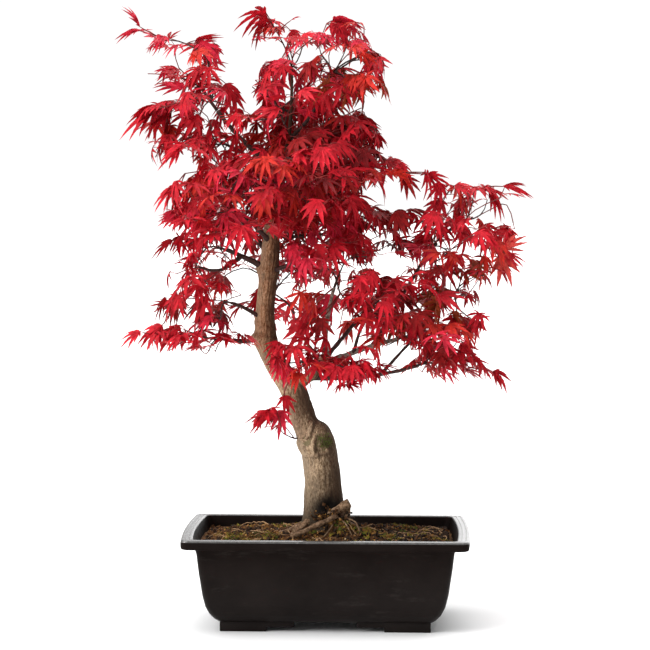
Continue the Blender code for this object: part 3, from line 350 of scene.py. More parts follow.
class Finish:
    """A Principled material being built up from nodes."""

    def __init__(self, name, colour, roughness, **sockets):
        self.material = bpy.data.materials.new(name)
        self.material.use_nodes = True
        self.nodes = self.material.node_tree.nodes
        self.links = self.material.node_tree.links
        self.shader = self.nodes["Principled BSDF"]
        self.shader.inputs["Base Color"].default_value = (*colour, 1.0)
        self.shader.inputs["Roughness"].default_value = roughness
        for socket, value in sockets.items():
            self.shader.inputs[socket.replace("_", " ")].default_value = value
        self.height = None

    def node(self, kind, **sockets):
        node = self.nodes.new("ShaderNode" + kind)
        for socket, value in sockets.items():
            node.inputs[socket.replace("_", " ")].default_value = value
        return node

    def place(self):
        return self.node("TexCoord").outputs["Object"]

    def noise(self, scale, detail=4.0, rough=0.6, stretch=(1.0, 1.0, 1.0)):
        mapping = self.node("Mapping", Scale=stretch)
        texture = self.node("TexNoise", Scale=scale, Detail=detail, Roughness=rough)
        self.links.new(self.place(), mapping.inputs["Vector"])
        self.links.new(mapping.outputs["Vector"], texture.inputs["Vector"])
        return texture.outputs["Fac"]

    def ramp(self, source, stops, target="Base Color"):
        ramp = self.node("ValToRGB")
        elements = ramp.color_ramp.elements
        while len(elements) < len(stops):
            elements.new(0.5)
        for element, (place, colour) in zip(elements, stops):
            element.position = place
            element.color = (*colour, 1.0)
        self.links.new(source, ramp.inputs["Fac"])
        if target:
            self.links.new(ramp.outputs["Color"], self.shader.inputs[target])
        return ramp.outputs["Color"]

    def mix(self, factor, first, second, target="Base Color"):
        mix = self.node("Mix")
        mix.data_type = "RGBA"
        self.links.new(factor, mix.inputs[0])
        for socket, value in ((6, first), (7, second)):
            if isinstance(value, tuple):
                mix.inputs[socket].default_value = (*value, 1.0)
            else:
                self.links.new(value, mix.inputs[socket])
        if target:
            self.links.new(mix.outputs[2], self.shader.inputs[target])
        return mix.outputs[2]

    def share(self, source, low, high, most):
        """0 where the source has the first value and the given share where it has the second."""
        span = self.node("MapRange", From_Min=low, From_Max=high, To_Max=most)
        self.links.new(source, span.inputs["Value"])
        return span.outputs["Result"]

    def measure(self, operation, source, fixed):
        """A vector of the surface compared with a fixed one."""
        node = self.node("VectorMath")
        node.operation = operation
        node.inputs[1].default_value = fixed
        self.links.new(source, node.inputs[0])
        return node.outputs["Value"]

    def height_share(self, low, high, most=0.8):
        """0 at the first height and the given share at the second."""
        split = self.node("SeparateXYZ")
        self.links.new(self.place(), split.inputs["Vector"])
        return self.share(split.outputs["Z"], low, high, most)

    def side_share(self, toward, low, high, most):
        """0 where the surface is turned away from a direction, the given share where it faces it."""
        normal = self.node("NewGeometry").outputs["Normal"]
        return self.share(self.measure("DOT_PRODUCT", normal, toward), low, high, most)

    def near(self, centre, far, close, most=1.0):
        """The given share within the closer distance of a point, 0 beyond the further one."""
        return self.share(self.measure("DISTANCE", self.place(), centre), far, close, most)

    def bump(self, source, distance, strength=1.0):
        bump = self.node("Bump", Distance=distance, Strength=strength)
        self.links.new(source, bump.inputs["Height"])
        if self.height:
            self.links.new(self.height, bump.inputs["Normal"])
        self.height = bump.outputs["Normal"]
        self.links.new(self.height, self.shader.inputs["Normal"])
        return self


def shaded(colour, factor):
    return tuple(channel * factor for channel in colour)


def grey(level):
    return level, level, level


def leaf_finish(name, colour):
    finish = Finish("leaf_" + name, colour, 0.55, Specular_IOR_Level=0.12)
    finish.ramp(finish.noise(160.0, 3.0), ((0.32, shaded(colour, 0.62)), (0.68, shaded(colour, 1.28))))
    return finish.bump(finish.noise(900.0, 2.0), 0.20 * MM).material


NECK_SHADE = Vector((-17.0, -9.0, 221.0)) * MM        # the middle of a painted shadow of the lowest leaves on the bark, which is also darker there
SHADE_SIDE = (1.0, 0.15, 0.0)                    # the directions in which the bark is darkened as painted shade and paled as painted light
LIT_SIDE = (-1.0, -0.10, 0.0)
BARK_STOPS = (0.36, 0.47, 0.62)
LOW_BARK = ((0.065, 0.036, 0.019), (0.262, 0.168, 0.096), (0.650, 0.475, 0.300))
HIGH_BARK = ((0.120, 0.048, 0.021), (0.340, 0.152, 0.070), (0.560, 0.310, 0.165))


def bark_finish():
    finish = Finish("bark", (0.2, 0.14, 0.1), 0.86, Specular_IOR_Level=0.2)
    streaks = finish.noise(760.0, 9.0, 0.72, (1.0, 1.0, 0.36))
    low, high = (finish.ramp(streaks, tuple(zip(BARK_STOPS, tones)), None)
                 for tones in (LOW_BARK, HIGH_BARK))
    patches = finish.noise(64.0, 9.0, 0.76, (1.0, 1.0, 0.60))
    damp = finish.mix(finish.noise(260.0, 6.0), (0.012, 0.009, 0.006), (0.085, 0.058, 0.034), None)
    coats = (
        (finish.height_share(215.0 * MM, 290.0 * MM), high),
        (finish.ramp(patches, ((0.49, grey(0.0)), (0.62, grey(0.78))), None), (0.088, 0.055, 0.033)),
        # painted light: bark paled on the side turned to the lamps
        (finish.side_share(LIT_SIDE, 0.25, 1.0, 0.34), (0.700, 0.545, 0.380)),
        (finish.height_share(172.0 * MM, 104.0 * MM, 0.92), damp),
        (finish.height_share(448.0 * MM, 478.0 * MM, 0.9), (0.050, 0.026, 0.020)),
        # painted shadow of the lowest leaves at the trunk's neck, over bark that is darker there too
        (finish.near(NECK_SHADE, 27.0 * MM, 8.0 * MM, 0.80), (0.062, 0.030, 0.016)),
        # painted shade: bark darkened on the side turned from the lamps
        (finish.side_share(SHADE_SIDE, -0.35, 0.48, 0.84), (0.039, 0.0195, 0.0095)),
        # painted shade: near-black inside the hollow at the foot
        (finish.near(HOLLOW, 24.0 * MM, 11.0 * MM), (0.006, 0.004, 0.003)),
    )
    bark = low
    for mask, colour in coats:
        bark = finish.mix(mask, bark, colour)
    finish.bump(streaks, 1.2 * MM)
    return finish.bump(finish.noise(1100.0, 5.0), 0.30 * MM).material


def grained_finish(name, colour, roughness, grain, stops, bump, specular=0.2):
    """A rough surface whose grain gives both its tones, from dark to light, and its relief."""
    finish = Finish(name, colour, roughness, Specular_IOR_Level=specular)
    grain = finish.noise(*grain)
    finish.ramp(grain, stops)
    return finish.bump(grain, bump).material


def grey_bark_finish():
    tones = ((0.36, (0.060, 0.042, 0.034)), (0.50, (0.200, 0.160, 0.130)), (0.66, (0.360, 0.310, 0.260)))
    return grained_finish("grey_bark", (0.2, 0.17, 0.14), 0.8, (330.0, 7.0, 0.7), tones, 0.4 * MM)


def young_bark_finish():
    tones = ((0.35, (0.016, 0.007, 0.006)), (0.65, (0.070, 0.030, 0.024)))
    return grained_finish("young_bark", (0.06, 0.03, 0.025), 0.7, (420.0, 5.0), tones, 0.2 * MM, 0.3)


def root_finish():
    tones = ((0.34, (0.040, 0.022, 0.012)), (0.48, (0.150, 0.088, 0.048)), (0.64, (0.350, 0.230, 0.140)))
    return grained_finish("root_bark", (0.2, 0.13, 0.08), 0.85, (380.0, 8.0, 0.7), tones, 1.0 * MM)


def stalk_finish():
    finish = Finish("leaf_stalks", (0.40, 0.03, 0.03), 0.5)
    finish.ramp(finish.noise(200.0), ((0.35, (0.26, 0.016, 0.018)), (0.7, (0.52, 0.070, 0.055))))
    return finish.material


def plastic_finish():
    finish = Finish("pot_plastic", (0.014, 0.011, 0.010), 0.42)
    # painted shade under the rim: the body reflects less towards the rim
    low = finish.height_share(30.0 * MM, 80.0 * MM, 1.0)
    finish.ramp(low, ((0.0, grey(0.09)), (1.0, grey(0.02))), "Specular IOR Level")
    cloud = finish.noise(22.0, 6.0, 0.65)
    black = finish.ramp(cloud, ((0.35, (0.0062, 0.0040, 0.0034)), (0.70, (0.0110, 0.0076, 0.0066))), None)
    dust = finish.noise(30.0, 10.0, 0.82, (0.4, 1.0, 1.6))
    mask = finish.ramp(dust, ((0.56, grey(0.0)), (0.74, grey(0.45))), None)
    finish.mix(mask, black, (0.050, 0.043, 0.038))
    scuffs = finish.noise(95.0, 9.0, 0.8, (0.35, 1.0, 1.3))
    finish.ramp(scuffs, ((0.42, grey(0.38)), (0.70, grey(0.55))), "Roughness")
    return finish.bump(finish.noise(1500.0, 2.0), 0.05 * MM, 0.6).material


def rim_finish():
    """The rim's top: painted lighter in mottled tones as painted sheen of its grazing reflection, and glossy
    so that it catches the light at a low angle.
    """
    finish = Finish("pot_rim", (0.05, 0.048, 0.046), 0.22, Specular_IOR_Level=0.9)
    wear_and_sheen = finish.noise(160.0, 9.0, 0.78)
    # the lighter tones are painted sheen, the grazing reflection off the rim's top
    finish.ramp(wear_and_sheen, ((0.35, (0.030, 0.028, 0.027)), (0.66, (0.105, 0.101, 0.097))))
    finish.ramp(wear_and_sheen, ((0.35, grey(0.17)), (0.66, grey(0.30))), "Roughness")
    return finish.material


SOIL_SHADOW_MIDDLE = Vector((75.0, -45.0, 88.0)) * MM    # the middle of a painted shadow on the soil's right part


def soil_finish():
    finish = Finish("soil", (0.10, 0.06, 0.03), 0.95, Specular_IOR_Level=0.15)
    crumbs = finish.noise(330.0, 8.0, 0.75)
    tones = ((0.34, (0.016, 0.008, 0.004)), (0.50, (0.105, 0.046, 0.015)), (0.66, (0.290, 0.150, 0.050)))
    loam = finish.ramp(crumbs, tones, None)
    # painted shadow darkens the soil's right part
    finish.mix(finish.near(SOIL_SHADOW_MIDDLE, 85.0 * MM, 40.0 * MM), loam, (0.020, 0.012, 0.006))
    return finish.bump(crumbs, 1.6 * MM).material


def plain_finish(name, colour, roughness, spread=0.35, scale=300.0):
    finish = Finish(name, colour, roughness, Specular_IOR_Level=0.2)
    finish.ramp(finish.noise(scale), ((0.3, shaded(colour, 1 - spread)), (0.7, shaded(colour, 1 + spread))))
    return finish.material


# ---------------------------------------------------------------- limbs

class Limb:
    """A tapering limb as points along its middle, each with a radius."""

    def __init__(self, points, radii):
        self.points = points
        self.radii = radii

    def at(self, share):
        place = min(max(share, 0.0), 1.0) * (len(self.points) - 1)
        k = min(int(place), len(self.points) - 2)
        part = place - k
        point = self.points[k].lerp(self.points[k + 1], part)
        radius = self.radii[k] + (self.radii[k + 1] - self.radii[k]) * part
        return point, (self.points[k + 1] - self.points[k]).normalized(), radius

    def samples(self, step=3.0 * MM):
        count = max(2, int(path_length(self.points) / step))
        found = [self.at(k / count) for k in range(count + 1)]
        return [(point, radius) for point, _, radius in found]


def trunk_share(height):
    for k, ((low, *_), (high, *_)) in enumerate(zip(TRUNK, TRUNK[1:])):
        if height <= high:
            return (k + (height - low) / (high - low)) / (len(TRUNK) - 1)
    return 1.0


def curved(start, middle_bow, tip, count):
    middle = (start + tip) / 2 + middle_bow
    control = middle * 2 - (start + tip) / 2
    return [start * (1 - t) ** 2 + control * 2 * t * (1 - t) + tip * t ** 2
            for t in (k / count for k in range(count + 1))]


def tapered(points, thick, thin):
    """A limb along the points, its radius in mm given for both ends."""
    count = len(points) - 1
    return Limb(points, [(thick + (thin - thick) * k / count) * MM for k in range(count + 1)])


def grown_limbs():
    middles = [Vector((x, y, z)) * MM for z, x, y, _ in TRUNK]
    limbs = {"trunk": Limb(middles, [radius * MM for *_, radius in TRUNK])}
    for name, (parent, place, tip, bow, thick, thin) in BOUGHS.items():
        share = trunk_share(place) if parent == "trunk" else place
        start, _, _ = limbs[parent].at(share)
        limbs[name] = tapered(curved(start, Vector(bow) * MM, Vector(tip) * MM, BOUGH_STEPS), thick, thin)
    return limbs


# Swellings and dents of the trunk, mm: height, angle in degrees, rise, spread up, spread round in degrees.
BUMPS = (
    (199, 0, -4.2, 6, 55), (190, 5, -0.9, 8, 40), (184, 185, 0.6, 4, 26), (178, 262, 1.2, 8, 45),
    (188, 312, 1.6, 6, 26), (287, 178, 2.2, 6, 48), (354, 172, 2.4, 6, 52), (353, 8, 1.4, 6, 45),
    (238, 350, 1.6, 7, 48), (116, 288, -6.5, 8, 24), (104, 345, 2.2, 8, 22), (104, 220, 2.6, 9, 20),
    (120, 240, -0.9, 14, 18), (150, 235, -0.8, 20, 22), (424, 170, 1.2, 5, 50), (440, 185, 1.0, 5, 50),
    (303, 200, 1.2, 4, 40), (320, 60, 0.8, 12, 40), (260, 140, 0.9, 12, 40), (166, 80, 1.6, 12, 60),
)
# Folds of the callus round the healed cuts: angle in degrees and height at each end, rise, mm.
FOLDS = (
    (214, 196, 236, 187, 1.5), (292, 199, 249, 189, 1.6), (275, 188, 262, 179, 1.3),
    (262, 179, 254, 170, 1.2), (218, 171, 266, 169, 1.4), (268, 170, 300, 172, 1.0),
    (300, 172, 330, 170, 1.2), (226, 182, 240, 174, 1.0), (180, 289, 300, 286, 1.2),
    (170, 356, 320, 352, 1.2), (200, 236, 330, 232, 0.7), (190, 152, 290, 150, 0.4),
)
FOLD_WIDTH = 1.7
FOLD_RISE = 1.5
FOLD_REACH = 18.0               # mm up or down from a fold's middle beyond which it isn't felt
ROUND_MM = 0.3                  # mm round the trunk to one degree
BARK_SIDES = 96
BARK_STEPS = 8                  # rings from one of the trunk's stations to the next
FULL_BARK = 12.0 * MM           # the radius from which the bark has its full roughness
CRACK_DEPTH = 0.7
CRACK_WIDTH = 0.11
FISSURES = 0.55
KNOTS = 0.75
LIMB_STEP = 2.2 * MM            # from one ring of a bough to the next


def bump_rise(angle, height):
    rise = 0.0
    for at, turn, up, spread, round_spread in BUMPS:
        aside = (math.degrees(angle) - turn + 180.0) % 360.0 - 180.0
        share = ((height - at) / spread) ** 2 + (aside / round_spread) ** 2
        if share < 9.0:
            rise += up * math.exp(-share)
    return rise


def fold_rises(turned, height):
    """The rise of each fold that is felt at a place on the trunk."""
    for turn1, at1, turn2, at2, up in FOLDS:
        if abs(height - (at1 + at2) / 2) <= FOLD_REACH:
            run = Vector(((turn2 - turn1) * ROUND_MM, at2 - at1))
            away = Vector(((turned - turn1) * ROUND_MM, height - at1))
            share = min(1.0, max(0.0, away.dot(run) / run.length_squared))
            yield FOLD_RISE * up * math.exp(-((away - run * share).length / FOLD_WIDTH) ** 2)


def bark_relief(point, angle, height, radius):
    """How far the bark stands out at a place on the trunk."""
    rise = bump_rise(angle, height)
    for fold in fold_rises(math.degrees(angle) % 360.0, height):
        rise += fold
    around = Vector((math.cos(angle) * 2.6, math.sin(angle) * 2.6, height * 0.022))
    fissure = noise.fractal(around * 2.4, 0.8, 2.2, 4)
    knots = noise.noise(point * 55.0)
    scale = min(1.0, radius / FULL_BARK)
    crack = abs(noise.noise(Vector((around.x * 3.4, around.y * 3.4, height * 0.105))))
    rise -= CRACK_DEPTH * scale * max(0.0, 1.0 - crack / CRACK_WIDTH)
    return (rise + (FISSURES * fissure + KNOTS * knots) * scale) * MM


def trunk_piece(limb, material):
    """The trunk's bark in relief, closed at the foot and at the leader's tip."""
    points = smooth_path(limb.points, BARK_STEPS)
    rings = []
    for k, point in enumerate(points):
        _, _, radius = limb.at(k / (len(points) - 1))
        along = heading_at(points, k) if k else UP
        side = along.cross(Vector((0, 1, 0))).normalized() * -1
        fore = along.cross(side)
        fade = max(0.0, 1.0 - (point.z - points[0].z) / FLARE_HEIGHT) ** 1.5
        for angle in round_turn(BARK_SIDES):
            lobe = 1.0 + FLARE_DEPTH * fade * math.cos(FLARE_LOBES * angle + FLARE_TURN)
            outward = side * math.cos(angle) + fore * math.sin(angle)
            relief = bark_relief(point, angle, point.z / MM, radius)
            rings.append(point + outward * max(0.5 * radius, radius * lobe + relief))
    batch = Batch()
    batch.add_rings(rings, BARK_SIDES)
    return batch.object("trunk_bark", material)


def limb_skin(batch, name, limb, sides, collar):
    """A bough or root with a swollen foot, knuckles and fine unevenness."""
    rng = seeded("limb", name)
    phase = rng.uniform(0, 6)
    length = path_length(limb.points)
    count = max(8, int(length / LIMB_STEP))
    points, radii = [], []
    for k in range(count + 1):
        share = k / count
        point, _, radius = limb.at(share)
        run = share * length / MM
        swell = 1.0 + collar * math.exp(-run / 6.0) + 0.07 * math.sin(run / 2.9 + phase)
        swell += 0.10 * max(0.0, math.sin(run / 9.0 + phase)) ** 6
        wander = noise.noise_vector(Vector((run / 9.0, phase, 0.0))) * radius * 0.25 * min(1.0, run / 10.0)
        points.append(point + wander)
        radii.append(radius * swell)
    batch.tube(points, radii, sides)


# ---------------------------------------------------------------- the crown's space

def seen_from_front(points):
    """Where points appear, as x and z in mm on the plane through the trunk's foot."""
    points = np.asarray(points)
    eye = np.array(CAMERA_PLACE)
    share = (0.0 - eye[1]) / (points[:, 1] - eye[1])
    flat = eye[None, :] + (points - eye) * share[:, None]
    return flat[:, [0, 2]] / MM


def camera_axes():
    """The camera's right, up and forward directions."""
    forward = Vector((-math.sin(CAMERA_TURN) * math.cos(CAMERA_TILT),
                      math.cos(CAMERA_TURN) * math.cos(CAMERA_TILT), -math.sin(CAMERA_TILT)))
    right = Vector((math.cos(CAMERA_TURN), math.sin(CAMERA_TURN), 0))
    up = right.cross(forward)
    return (right * math.cos(CAMERA_ROLL) + up * math.sin(CAMERA_ROLL),
            up * math.cos(CAMERA_ROLL) - right * math.sin(CAMERA_ROLL), forward)


def on_front(column, row):
    """A place read off the photo, as mm across and up on the plane through the trunk's foot."""
    right, up, forward = camera_axes()
    zoom = LENS / SENSOR * PHOTO_SIZE
    ray = forward * zoom + right * (column - PHOTO_SIZE / 2) - up * (row - PHOTO_SIZE / 2)
    seen = CAMERA_PLACE - ray * (CAMERA_PLACE.y / ray.y)
    return round(seen.x / MM), round(seen.z / MM)


@functools.cache
def gaps_on_front():
    return [(*on_front(column, row), wide, tall) for column, row, wide, tall in GAPS]


def behind_front(x, z, depth):
    """The point at a depth that is seen at x and z on the plane through the trunk's foot, all in mm."""
    on_plane = Vector((x, 0, z)) * MM
    share = (depth * MM - CAMERA_PLACE.y) / (0.0 - CAMERA_PLACE.y)
    return CAMERA_PLACE + (on_plane - CAMERA_PLACE) * share


def inside_outline(places, outline):
    corners = np.array(outline, dtype=float)
    x, z = places[:, :1], places[:, 1:]
    x1, z1 = corners[None, :, 0], corners[None, :, 1]
    x2, z2 = np.roll(corners, -1, axis=0)[None, :, 0], np.roll(corners, -1, axis=0)[None, :, 1]
    crosses = (z1 > z) != (z2 > z)
    run = np.where(z2 == z1, 1e-9, z2 - z1)
    return (np.sum(crosses & (x < (x2 - x1) * (z - z1) / run + x1), axis=1) % 2).astype(bool)


def in_oval(places, x, z, wide, tall):
    return ((places[:, 0] - x) / wide) ** 2 + ((places[:, 1] - z) / tall) ** 2 < 1.0


def in_gap(places):
    return np.any([in_oval(places, *gap) for gap in gaps_on_front()], axis=0)


def before_limb(points, places):
    depths = np.asarray(points)[:, 1] / MM
    return np.any([in_oval(places, *window) & (depths < depth) for *window, depth in WINDOWS], axis=0)


def is_open(points, outline):
    """Whether points are seen inside the outline, in no gap and not before a limb that shows."""
    places = seen_from_front(points)
    return inside_outline(places, outline) & ~in_gap(places) & ~before_limb(points, places)


def axis_distance(points, starts, ends):
    runs = ends - starts
    apart = points[:, None, :] - starts[None, :, :]
    share = np.einsum("ijk,jk->ij", apart, runs) / np.einsum("jk,jk->j", runs, runs)
    nearest = starts[None, :, :] + np.clip(share, 0.0, 1.0)[:, :, None] * runs[None, :, :]
    return np.linalg.norm(points[:, None, :] - nearest, axis=2)


class Mass:
    """One mass of foliage: where its stem starts and the spread that its twigs fill."""

    def __init__(self, name, limbs):
        limb_name, height, tip, wide, tall, space, self.tints = MASSES[name]
        self.space = space * MM
        limb = limbs[limb_name]
        self.name = name
        self.tip = Vector(tip) * MM
        if height is None or height >= TRUNK[-1][0]:
            self.start, self.heading, self.base_radius = limb.at(1.0)
        else:
            point, along, radius = limb.at(trunk_share(height))
            away = self.tip - point
            self.heading = (away - along * away.dot(along)).normalized()
            self.start = point + self.heading * radius * 0.8
            self.base_radius = min(radius * 0.5, 2.2 * MM)
        self.forward = (self.tip - self.start).normalized()
        self.end = self.tip - self.forward * min(LEAF_REACH, (self.tip - self.start).length * 0.45)
        self.across = self.forward.cross(UP).normalized()
        self.upward = self.across.cross(self.forward)
        self.middle = (self.start + self.end) / 2
        self.outline = SUCKER_OUTLINE if name == "sucker_leaves" else CROWN_OUTLINE
        self.half = ((self.end - self.start).length / 2 + 14 * MM, (wide * 1.25 + 12) * MM,
                     (tall * 1.25 + 12) * MM)

    def point(self, u, v, w):
        return (self.middle + self.forward * (u * self.half[0]) + self.across * (v * self.half[1])
                + self.upward * (w * self.half[2]))


def twig_goals(mass, number, starts, ends, taken):
    """Even places for twig ends in the space nearer this mass's axis than any other's."""
    rng = seeded("goals", mass.name)
    goals = [mass.end]
    draws = []
    while len(draws) < SPRAY_DRAWS:
        u, v, w = (rng.uniform(-1, 1) for _ in range(3))
        if u * u + v * v + w * w <= 1.0:
            draws.append(mass.point(u, v, w))
    points = np.array(draws)
    own = np.argmin(axis_distance(points, starts, ends), axis=1) == number
    inside = (np.abs(points[:, :2]) < np.array(CROWN_HALF) - TWIG_MARGIN).all(axis=1)
    for point in (Vector(p) for p in points[own & is_open(points, mass.outline) & inside]):
        if all((point - other).length > mass.space for other in goals + taken):
            goals.append(point)
    return sorted(goals, key=lambda goal: (goal - mass.start).length)


def grow(mass, goals):
    """A stem, then a twig to each goal from the cheapest place to leave."""
    reach = (mass.end - mass.start).length * STEM_SHARE
    bend = mass.start + mass.heading * reach * 0.5
    stem_end = mass.start + (mass.heading + mass.forward).normalized() * reach
    nodes = [{"at": mass.start, "along": mass.heading, "path": 0.0, "from": None}]
    branches = [[0]]
    for k in (1, 2, 3):
        t = k / 3
        point = on_bend(mass.start, bend, stem_end, t)
        nodes.append({"at": point, "along": (point - nodes[-1]["at"]).normalized(), "path": reach * t,
                      "from": k - 1})
        branches[0].append(k)
    for goal in goals:
        choices = []
        for index, node in enumerate(nodes[1:], 1):
            way = goal - node["at"]
            if way.length > 5.0 * MM:
                turn = way.normalized().dot(node["along"])
                choices.append((way.length * (1.5 - 0.5 * turn) + PATH_COST * node["path"], index))
        _, index = min(choices)
        node = nodes[index]
        length = (goal - node["at"]).length
        control = node["at"] + node["along"] * length * 0.35
        branch = [index]
        for t in (0.34, 0.67, 1.0):
            point = on_bend(node["at"], control, goal, t)
            before = nodes[branch[-1]]
            nodes.append({"at": point, "along": (point - before["at"]).normalized(),
                          "path": before["path"] + (point - before["at"]).length, "from": branch[-1]})
            branch.append(len(nodes) - 1)
        branches.append(branch)
    return nodes, branches


def node_radii(nodes, branches, limit):
    carried = [0] * len(nodes)
    for branch in branches:
        index = branch[-1]
        while index is not None:
            carried[index] += 1
            index = nodes[index]["from"]
    return [min(limit, TWIG_TIP_RADIUS * count ** TWIG_GROWTH) for count in carried]


# ---------------------------------------------------------------- leaves

def leaf_form(rng, gather=None, droop=None):
    """One leaf in its own axes: forward x, sideways y, face up z. Returns points and faces."""
    points, faces = [], []
    droop = droop or rng.uniform(0.10, 0.55)
    fold = rng.uniform(0.20, 0.80)
    gather = gather or rng.uniform(0.50, 1.06)
    for angle, length, width in LOBES:
        turn = math.radians(angle * gather + rng.uniform(-4, 4))
        reach = length * rng.uniform(0.92, 1.08)
        bow = rng.uniform(-0.12, 0.12)
        sink = droop * rng.uniform(0.7, 1.3)
        first = len(points)
        for share, broad in LOBE_PROFILE:
            along = reach * share
            half = width * broad
            bent = turn + bow * share
            drop = -sink * along * along / 30.0
            forward, aside = math.cos(bent), math.sin(bent)
            for edge in (-1, 0, 1):
                points.append((along * forward - edge * half * aside, along * aside + edge * half * forward,
                               drop + abs(edge) * half * fold))
        tip = len(points)
        bent = turn + bow
        points.append((reach * math.cos(bent), reach * math.sin(bent), -sink * reach * reach / 30.0))
        for k in range(len(LOBE_PROFILE) - 1):
            a = first + 3 * k
            faces += [[a, a + 3, a + 4, a + 1], [a + 1, a + 4, a + 5, a + 2]]
        a = first + 3 * (len(LOBE_PROFILE) - 1)
        faces += [[a, tip, a + 1], [a + 1, tip, a + 2]]
    return np.array(points) * MM, faces


def leaf_axes(heading, lean):
    side = heading.cross(UP).normalized()
    face = side.cross(heading).normalized()
    turn = Matrix.Rotation(lean, 3, heading)
    return np.array([heading, turn @ side * -1, turn @ face])


class Crown:
    """Grows every mass and deals its leaves out to a batch for each tint."""

    def __init__(self, limbs):
        samples = [sample for limb in limbs.values() for sample in limb.samples()]
        self.centres = np.array([point for point, _ in samples])
        self.reach = np.array([radius for _, radius in samples]) + 1.0 * MM
        rng = seeded("forms")
        self.forms = [leaf_form(rng) for _ in range(LEAF_FORMS)]
        self.tips = [self.lobe_tips(points) for points, _ in self.forms]
        self.leaves = {tint: Batch() for tint in TINTS}
        self.stalks = Batch()
        self.twigs = Batch()
        self.shoots = Batch()
        self.joints = []
        self.count = 0

    @staticmethod
    def lobe_tips(points):
        per_lobe = 3 * len(LOBE_PROFILE) + 1
        ends = [points[per_lobe * (k + 1) - 1] for k in range(len(LOBES))]
        middles = [points[per_lobe * k + 13] for k in range(5)]
        return np.array(ends + middles)

    def fits(self, points, outline):
        if not is_open(points, outline).all():
            return False
        box = np.abs(points[:, :2]).max(axis=0)
        if box[0] > CROWN_HALF[0] or box[1] > CROWN_HALF[1] or points[:, 2].max() > CROWN_TOP:
            return False
        apart = points[:, None, :] - self.centres[None, :, :]
        return bool((np.einsum("ijk,ijk->ij", apart, apart) > np.square(self.reach)[None, :]).all())

    def leaf(self, root, heading, stalk_heading, tint, scale, rng, outline):
        """A stalk that bends over and the blade at its end; refused where it would leave the crown."""
        number = rng.randrange(len(self.forms))
        points, faces = self.forms[number]
        stalk = rng.uniform(*STALK) * scale
        foot = root + stalk_heading * stalk
        axes = leaf_axes(heading, math.radians(rng.uniform(-38, 38)))
        if not self.fits(self.tips[number] * scale @ axes + np.array(foot), outline):
            return False
        self.leaves[tint].add(points * scale @ axes + np.array(foot), faces)
        middle = root + stalk_heading * stalk * 0.55 + Vector((0, 0, 0.10 * stalk))
        self.stalks.tube([root, middle, foot], [STALK_RADIUS * share for share in STALK_TAPER], 4, False)
        self.count += 1
        return True

    def dress(self, node, tint, rng, outline, turns):
        """Leaves round a joint of a twig, each turned away from it and hanging."""
        outward = node["at"] - CROWN_MIDDLE
        outward = Vector((outward.x, outward.y, 0)).normalized()
        for turn in turns:
            for attempt in range(LEAF_TRIES):
                scale = rng.uniform(*LEAF_SCALE) * (1.0 - 0.035 * attempt)
                flat = Vector((node["along"].x, node["along"].y, 0.1)) + outward * 0.7
                aside = math.radians(turn + rng.uniform(-14, 14) * (1 + attempt * 0.5))
                flat = (Matrix.Rotation(aside, 3, "Z") @ flat.normalized()).normalized()
                fall = math.radians(rng.triangular(-12, 84, 40))
                rise = math.radians(rng.uniform(-15, 35))
                heading = (flat * math.cos(fall) - UP * math.sin(fall)).normalized()
                stalk = (flat * math.cos(rise) + UP * math.sin(rise)).normalized()
                if self.leaf(node["at"], heading, stalk, tint, scale, rng, outline):
                    break

    def add_mass(self, mass, number, starts, ends, taken):
        rng = seeded("mass", mass.name)
        goals = twig_goals(mass, number, starts, ends, taken)
        taken += goals
        nodes, branches = grow(mass, goals)
        shares = TINT_SHARES[mass.tints]
        leafy = [branch for branch in branches[1:] if self.dress_twig(mass, nodes, branch, rng, shares)]
        radii = node_radii(nodes, leafy, mass.base_radius)
        for order, branch in enumerate(branches):
            widths = [radii[index] for index in branch]
            if not widths[-1]:
                widths = [width for width in widths if width]
            if len(widths) < 2 or (order and not radii[branch[1]]):
                continue
            points = [nodes[index]["at"] for index in branch[:len(widths)]]
            if order:
                widths[0] = widths[1]
            batch = self.shoots if order and widths[0] < RED_SHOOT else self.twigs
            batch.tube(points, widths, TWIG_SIDES)
        self.joints += [(node["at"], node["along"]) for node, radius in zip(nodes, radii) if radius]

    def dress_twig(self, mass, nodes, branch, rng, shares):
        """Three leaves at a twig's end, and on half of the twigs a pair behind them."""
        before = self.count
        tint = rng.choices(list(shares), list(shares.values()))[0]
        self.dress(nodes[branch[-1]], tint, rng, mass.outline, END_LEAVES)
        if rng.random() < PAIR_SHARE:
            self.dress(nodes[branch[2]], tint, rng, mass.outline, PAIR_LEAVES)
        return self.count > before

    def add_lone_leaves(self):
        """Leaves that stand out from the crown, each on a shoot from a joint near by and behind it."""
        rng = seeded("lone")
        for column1, row1, column2, row2, depth, gather, tint in LONE_LEAVES:
            foot = behind_front(*on_front(column1, row1), depth)
            tip = behind_front(*on_front(column2, row2), depth - LONE_FALL)
            heading = (tip - foot).normalized()
            scale = (tip - foot).length / (LOBES[0][1] * MM)
            points, faces = leaf_form(rng, gather, rng.uniform(0.15, 0.35))
            lean = 12 + 70 * (gather - 0.35) + rng.uniform(-8, 8)
            axes = leaf_axes(heading, math.radians(lean) * rng.choice((-1, 1)))
            self.leaves[tint].add(points * scale @ axes + np.array(foot), faces)
            self.add_shoot(foot, heading)
            self.count += 1

    def add_shoot(self, foot, heading):
        """A thin shoot to a lone leaf, from the joint that takes the least way and turn."""
        at, along = min(self.joints, key=lambda joint: (joint[0] - foot).length
                        + SHOOT_TURN_COST * (1 - (foot - joint[0]).normalized().dot(heading)))
        reach = (foot - at).length
        bend = at.lerp(foot, 0.5) + along * reach * 0.12
        root = LONG_SHOOT_RADIUS if reach > LONG_SHOOT else SHOOT_RADIUS
        self.shoots.tube([on_bend(at, bend, foot, t) for t, _ in SHOOT_TAPER],
                         [root * share for _, share in SHOOT_TAPER], TWIG_SIDES)


